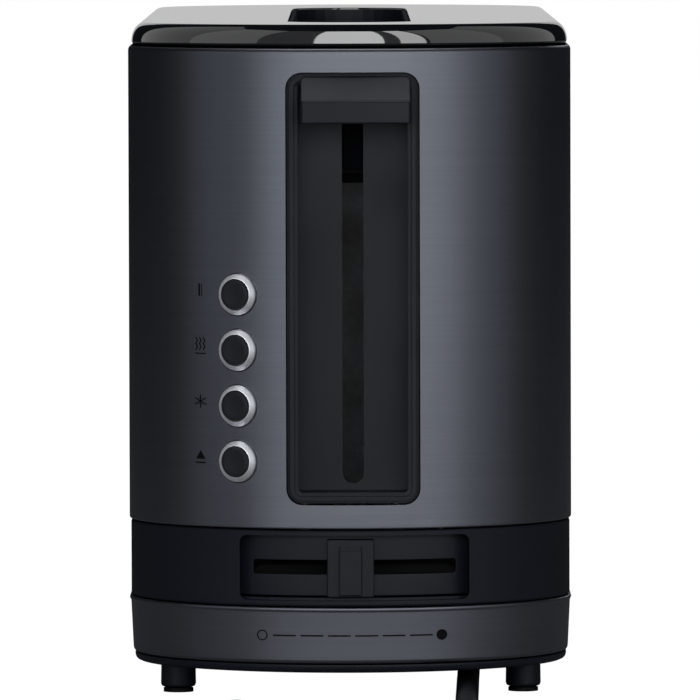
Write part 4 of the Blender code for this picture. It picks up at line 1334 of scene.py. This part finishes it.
class TOASTER_OT_lever_recess(ToasterOperator):
    """Makes the lever's recess: a stepped rim, four walls and a slotted floor"""

    bl_idname = "toaster.lever_recess"
    bl_label = "Lever recess"

    def execute(self, context):
        sizes = context.scene.toaster_lever
        groove = Vector((0, 0.0026, 0))
        lining = block("recess_lining", BEZEL_LOW + groove, BEZEL_HIGH, sizes.recess_corner - FINE)
        enter(lining)
        pick(lambda face: face.normal.y < -0.9, "FACE")
        # The rim: a sunk edge beside the steel, a lip, and a step down to the mouth.
        bpy.ops.mesh.inset(thickness=0.0009, depth=0)
        bpy.ops.mesh.extrude_region_move(TRANSFORM_OT_translate={"value": -groove})
        bpy.ops.mesh.inset(thickness=0.0012, depth=0)
        bpy.ops.mesh.inset(thickness=0.0001, depth=0)
        bpy.ops.transform.translate(value=(0, 0.0010, 0))
        bpy.ops.mesh.inset(thickness=sizes.rim - 0.0022, depth=0)
        deep = sizes.recess_depth
        bpy.ops.mesh.extrude_region_move(TRANSFORM_OT_translate={"value": (0, deep - 0.0010, 0)})
        leave()
        half = sizes.slot_width / 2
        arm_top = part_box("lever_arm")[1].z
        foot = GRIP_LOW.z + 0.0015 - sizes.travel - 0.005
        slot = block(
            "slot",
            (sizes.recess_x - half, BEZEL_LOW.y + deep - 0.004, foot),
            (sizes.recess_x + half, BEZEL_HIGH.y + 0.01, arm_top + 0.003),
            half * 0.98,
        )
        cut(lining, slot)
        settle(
            lining, "housing", finish("black_plastic"), ["lever_bezel"], 0.00025, 2
        )
        return {"FINISHED"}


class TOASTER_OT_lever_grip(ToasterOperator):
    """Makes the lever's grip: a front block under a sloping, round-cornered top"""

    bl_idname = "toaster.lever_grip"
    bl_label = "Lever grip"

    def execute(self, context):
        face, back = GRIP_LOW.y, GRIP_HIGH.y
        foot, top = GRIP_LOW.z, GRIP_HIGH.z
        step = foot + context.scene.toaster_lever.grip_face
        nose = block("nose", (GRIP_LOW.x, face, foot), (GRIP_HIGH.x, back, step), 0.0)
        enter(nose)
        pick(lambda edge: runs_along(edge, 2), "EDGE")
        bpy.ops.mesh.bevel(offset=0.0011, segments=5, affect="EDGES")
        leave()
        apply_modifier(nose, "BEVEL", width=0.00055, segments=3, limit_method="ANGLE")
        slope = block("slope", (GRIP_LOW.x, face + 0.0012, foot + 0.001), (GRIP_HIGH.x, back, top))
        enter(slope)
        pick(lambda vertex: vertex.co.z > top - 1e-5 and vertex.co.y < back - 0.001)
        bpy.ops.transform.translate(value=(0, back - face - 0.0028, 0))
        pick(
            lambda edge: all(abs(v.co.z - top) < 1e-5 for v in edge.verts) and runs_along(edge, 1),
            "EDGE",
        )
        pick(
            lambda edge: abs(edge.verts[0].co.x - edge.verts[1].co.x) < 1e-6
            and middle_of(edge).z > top - 0.0001,
            "EDGE",
        )
        bpy.ops.mesh.bevel(offset=0.0016, segments=5, affect="EDGES")
        leave()
        apply_modifier(slope, "BEVEL", width=0.0005, segments=3, limit_method="ANGLE")
        cut(nose, slope, "UNION")
        nose.name = nose.data.name = "lever_grip"
        settle(nose, "carriage", finish("black_plastic"), ["lever_handle"])
        return {"FINISHED"}


class TOASTER_OT_buttons(ToasterOperator):
    """Makes the round buttons and their satin silver rings"""

    bl_idname = "toaster.buttons"
    bl_label = "Buttons"

    def execute(self, context):
        sizes = context.scene.toaster_buttons
        place, out = button_place(context)
        side = Vector((-out.y, out.x, 0))
        for index in range(sizes.count):
            centre = place - Vector((0, 0, index * sizes.pitch))
            profile = [
                (sizes.ring_radius, -0.0025),
                (sizes.ring_radius, 0.0001),
                (sizes.ring_radius - 0.0001, 0.0004),
                (sizes.ring_radius - 0.0004, 0.0007),
                (sizes.hole_radius + 0.0003, sizes.ring_proud - 0.0001),
                (sizes.hole_radius + 0.0001, sizes.ring_proud),
                (sizes.hole_radius, sizes.ring_proud - 0.0002),
                (sizes.hole_radius, -0.0025),
            ]
            number = index + 1
            ring = round_form(f"silver_ring_{number}", profile, centre, out, 64, "bridged")
            settle(ring, "housing", finish("satin_silver"), [f"button_ring_{number}"])
            light_by_group(ring, "rings_only", "INCLUDE")
            radius, proud = sizes.cap_radius, sizes.cap_proud
            profile = [
                (0.0015, -0.0062),
                (0.0015, -0.0030),
                (radius, -0.0030),
                (radius, proud - 0.0008),
                (radius - 0.0001, proud - 0.0004),
                (radius - 0.0004, proud - 0.0001),
                (radius - 0.0008, proud),
                (radius - 0.0016, proud - 0.0001),
                (radius - 0.0030, proud - 0.00025),
                (radius - 0.0042, proud - 0.0003),
            ]
            cap = round_form(f"round_button_{number}", profile, centre, out, 64)
            dimple = start("uv_sphere", "dimple", segments=24, ring_count=12, radius=0.00035)
            at = centre + side * 0.0029 + out * (proud + 0.0001)
            cut(cap, aim(dimple, at, out))
            settle(
                cap, f"button_{number}", finish("button_black"), [f"button_cap_{number}"]
            )
        return {"FINISHED"}


class TOASTER_OT_browning_slider(ToasterOperator):
    """Makes the browning slider: its curved floor, the track behind it and its knob"""

    bl_idname = "toaster.browning_slider"
    bl_label = "Browning slider"

    def floor(self, sizes):
        low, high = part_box("slider_track")
        inset = sizes.floor_inset
        profile = [
            (inset, low.z),
            (inset, high.z),
            (inset + sizes.floor_wall, high.z),
            (inset + sizes.floor_wall, low.z),
        ]
        floor = casing("slider_floor", profile)
        keep = block("keep", (low.x, FRONT - 0.01, low.z - 0.01), (high.x, MIDDLE_Y, high.z + 0.01))
        cut(floor, keep, "INTERSECT")
        middle = (BAND_LOW.z + BAND_HIGH.z) / 2
        half, tall = sizes.slot_width / 2, sizes.slot_height / 2
        slot = block(
            "slot",
            (sizes.place_x - half, FRONT - 0.01, middle - tall),
            (sizes.place_x + half, FRONT + 0.05, middle + tall),
            0.0008,
        )
        cut(floor, slot)
        settle(
            floor, "housing", finish("black_plastic"), ["slider_track"], 0.00025, 2
        )

    def track(self, sizes):
        """The sliding resistor's case, its rail and two end pins; case and rail are near-black as painted
        shade in the slider's slot.
        """
        low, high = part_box("slider_resistor")
        case = block("resistor_case", low, high, 0.0008, 0)
        # The case is near-black: painted shade in the slider's slot.
        settle(case, "housing", finish("slot_shade_black"), ["slider_resistor"], 0.0002)
        middle = (low.z + high.z) / 2
        rail = block(
            "resistor_rail",
            (low.x + 0.001, low.y - 0.0002, middle + 0.0002),
            (high.x - 0.001, low.y, middle + 0.0016),
            0.0003,
        )
        pins = [rail]
        for x in (low.x + 0.0008, high.x - 0.0008):
            profile = [(0.0006, 0.0), (0.0006, 0.0024), (0.0004, 0.0028)]
            pins.append(round_form("pin", profile, (x, low.y, middle + 0.0003), (0, -1, 0), 24))
        rail = join("resistor_rail", pins)
        # The rail is near-black: painted shade in the slider's slot.
        settle(rail, "housing", finish("slot_shade_steel"))

    def knob(self, sizes):
        """Two wings, and a middle rib with a sloping top over a small ledge."""
        front, back = KNOB_LOW.y, KNOB_LOW.y + 0.0070
        wing = block(
            "slide_knob",
            (KNOB_LOW.x, front + 0.0015, KNOB_LOW.z),
            (KNOB_HIGH.x, back, KNOB_HIGH.z),
            0.0006,
        )
        apply_modifier(wing, "BEVEL", width=0.0004, segments=3, limit_method="ANGLE")
        half = sizes.rib_width / 2
        rib = block("rib", (-half, front, KNOB_LOW.z + 0.0006), (half, back - 0.001, KNOB_HIGH.z - 0.0012))
        enter(rib)
        foremost, topmost = front + 0.0001, KNOB_HIGH.z - 0.0013
        pick(
            lambda edge: runs_along(edge, 0)
            and middle_of(edge).z > topmost
            and middle_of(edge).y < foremost,
            "EDGE",
        )
        bpy.ops.mesh.bevel(offset=0.0022, segments=1, affect="EDGES")
        leave()
        apply_modifier(rib, "BEVEL", width=0.00035, segments=3, limit_method="ANGLE")
        cut(wing, rib, "UNION")
        middle = (KNOB_LOW.z + KNOB_HIGH.z) / 2
        tall = sizes.slot_height / 2 - FINE
        stem = block(
            "stem", (-0.003, back - 0.002, middle - tall), (0.003, KNOB_HIGH.y, middle + tall), 0.0004
        )
        cut(wing, stem, "UNION")
        settle(wing, "slider", finish("black_plastic"), ["slider_knob"])

    def execute(self, context):
        sizes = context.scene.toaster_slider
        self.floor(sizes)
        self.track(sizes)
        self.knob(sizes)
        return {"FINISHED"}


class TOASTER_OT_bread_cages(ToasterOperator):
    """Makes the two wire cages that close on the bread"""

    bl_idname = "toaster.bread_cages"
    bl_label = "Bread cages"

    def execute(self, context):
        count = 15
        for side in ("left", "right"):
            node = f"bread_guide_{side}"
            low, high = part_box(node)
            radius = (high.x - low.x) / 2
            x = (low.x + high.x) / 2
            tall = high.z - low.z
            pitch = (high.y - low.y - 2 * radius) / (count - 1)
            upright = start(
                "cylinder",
                f"wire_cage_{side}",
                vertices=12,
                radius=radius * 0.8,
                depth=tall - 2 * radius,
                location=(x, low.y + radius, (low.z + high.z) / 2),
            )
            apply_modifier(
                upright,
                "ARRAY",
                count=count,
                use_relative_offset=False,
                use_constant_offset=True,
                constant_offset_displace=(0, pitch, 0),
            )
            wires = [upright]
            for z in (low.z + radius, (low.z + high.z) / 2, high.z - radius):
                wires.append(
                    start(
                        "cylinder",
                        "rail",
                        vertices=12,
                        radius=radius,
                        depth=high.y - low.y,
                        location=(x, (low.y + high.y) / 2, z),
                        rotation=(math.pi / 2, 0, 0),
                    )
                )
            cage = join(f"wire_cage_{side}", wires)
            settle(cage, f"guide_{side}", finish("wire_steel"), [node], 0.0003, 2)
        return {"FINISHED"}


class TOASTER_OT_heating_ribbons(ToasterOperator):
    """Winds the heating ribbon across both mica boards"""

    bl_idname = "toaster.heating_ribbons"
    bl_label = "Heating ribbons"

    def execute(self, context):
        runs, thick, wide = 11, 0.0002, 0.0014
        for side, sign in (("left", -1), ("right", 1)):
            low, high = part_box(f"heater_board_{side}")
            inner = high.x if sign < 0 else low.x
            ribs = sorted((inner, inner - sign * thick))
            pitch = (high.z - low.z - 0.016) / (runs - 1)
            ribbon = block(
                f"heating_ribbon_{side}",
                (ribs[0], low.y + 0.004, low.z + 0.008 - wide / 2),
                (ribs[1], high.y - 0.004, low.z + 0.008 + wide / 2),
            )
            enter(ribbon)
            bpy.ops.mesh.select_all(action="SELECT")
            bpy.ops.mesh.subdivide(number_cuts=3)
            leave()
            apply_modifier(
                ribbon,
                "ARRAY",
                count=runs,
                use_relative_offset=False,
                use_constant_offset=True,
                constant_offset_displace=(0, 0, pitch),
            )
            settle(ribbon, "housing", finish("ribbon"))
        return {"FINISHED"}


class TOASTER_OT_carriage_spring(ToasterOperator):
    """Coils the spring that lifts the carriage"""

    bl_idname = "toaster.carriage_spring"
    bl_label = "Carriage spring"

    def execute(self, context):
        low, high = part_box("carriage_spring")
        wire, turns, per_turn = 0.0004, 13, 20
        x, y = (low.x + high.x) / 2, (low.y + high.y) / 2
        radius = (high.x - low.x) / 2 - wire
        curve = bpy.data.curves.new("lifting_spring", "CURVE")
        curve.dimensions = "3D"
        curve.bevel_depth = wire
        curve.bevel_resolution = 2
        curve.use_fill_caps = True
        spline = curve.splines.new("POLY")
        count = turns * per_turn
        spline.points.add(count)
        rise = high.z - low.z - 2 * wire
        for i, point in enumerate(spline.points):
            angle = math.tau * i / per_turn
            share = i / count
            # The end turns lie closer, as on a ground compression spring.
            eased = share - 0.06 * math.sin(math.tau * share) / math.tau * 4
            z = low.z + wire + rise * min(max(eased, 0.0), 1.0)
            point.co = (x + radius * math.cos(angle), y + radius * math.sin(angle), z, 1)
        coil = bpy.data.objects.new("lifting_spring", curve)
        context.scene.collection.objects.link(coil)
        only(coil)
        bpy.ops.object.convert(target="MESH")
        coil = context.object
        settle(coil, "housing", finish("wire_steel"), ["carriage_spring"], crease=60)
        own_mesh(coil)
        return {"FINISHED"}


class TOASTER_OT_inner_finishes(ToasterOperator):
    """Gives the frame's own pieces that stay in view their finishes"""

    bl_idname = "toaster.inner_finishes"
    bl_label = "Inner finishes"

    finishes = {
        "black_plastic": ["slot_collar", "base_frame", "cord_tie"],
        # Carriage block: near-black as painted shade inside the lever slot.
        "slot_shade_black": ["carriage_block"],
        "zinc_steel": [
            "chamber_rear_plate",
            "reflector_left",
            "reflector_right",
            "electromagnet_core",
        ],
        # Lever arm, latch plate and front chamber plate: near-black as painted shade inside the lever
        # slot.
        "slot_shade_steel": ["lever_arm", "latch_plate", "chamber_front_plate"],
        "wire_steel": ["bread_rack", "guide_rod_left", "guide_rod_right"],
        "aluminium_sheet": ["crumb_tray"],
        "mica": ["heater_board_left", "heater_board_right"],
        "circuit_board": ["control_board", "switch_board"],
        "relay_case": ["relay"],
        "gloss_black": ["capacitor"],
        "coil_copper": ["electromagnet_coil"],
        "black_rubber": [
            "foot_pad_front_left",
            "foot_pad_front_right",
            "foot_pad_rear_left",
            "foot_pad_rear_right",
        ],
    }

    def execute(self, context):
        for name, nodes in self.finishes.items():
            for node in nodes:
                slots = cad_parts[node].material_slots
                if not slots:
                    raise RuntimeError(f"{node} has no material slot")
                for slot in slots:
                    slot.material = finish(name)
        return {"FINISHED"}


STEPS = (
    TOASTER_OT_stage,
    TOASTER_OT_mains_lead,
    TOASTER_OT_steel_shell,
    TOASTER_OT_printing,
    TOASTER_OT_gloss_cover,
    TOASTER_OT_black_band,
    TOASTER_OT_base,
    TOASTER_OT_lever_recess,
    TOASTER_OT_lever_grip,
    TOASTER_OT_buttons,
    TOASTER_OT_browning_slider,
    TOASTER_OT_bread_cages,
    TOASTER_OT_heating_ribbons,
    TOASTER_OT_carriage_spring,
    TOASTER_OT_inner_finishes,
)


class TOASTER_PT_build(bpy.types.Panel):
    """Lists the toaster's sizes and its building steps"""

    bl_idname = "TOASTER_PT_build"
    bl_label = "Long-Slot Toaster"
    bl_space_type = "VIEW_3D"
    bl_region_type = "UI"
    bl_category = "Toaster"

    def draw(self, context):
        layout = self.layout
        for name, group in PROPERTY_GROUPS.items():
            box = layout.box()
            box.label(text=name.replace("_", " ").title())
            values = getattr(context.scene, name)
            for key in group.__annotations__:
                box.prop(values, key)
        for step in STEPS:
            layout.operator(step.bl_idname, text=step.bl_label)


def register():
    for name, group in PROPERTY_GROUPS.items():
        bpy.utils.register_class(group)
        setattr(bpy.types.Scene, name, PointerProperty(type=group))
    for step in STEPS:
        bpy.utils.register_class(step)
    bpy.utils.register_class(TOASTER_PT_build)


def unregister():
    bpy.utils.unregister_class(TOASTER_PT_build)
    for step in reversed(STEPS):
        bpy.utils.unregister_class(step)
    for name, group in PROPERTY_GROUPS.items():
        delattr(bpy.types.Scene, name)
        bpy.utils.unregister_class(group)


def main():
    register()
    for step in STEPS:
        group, name = step.bl_idname.split(".")
        getattr(getattr(bpy.ops, group), name)()


if __name__ == "__main__":
    main()
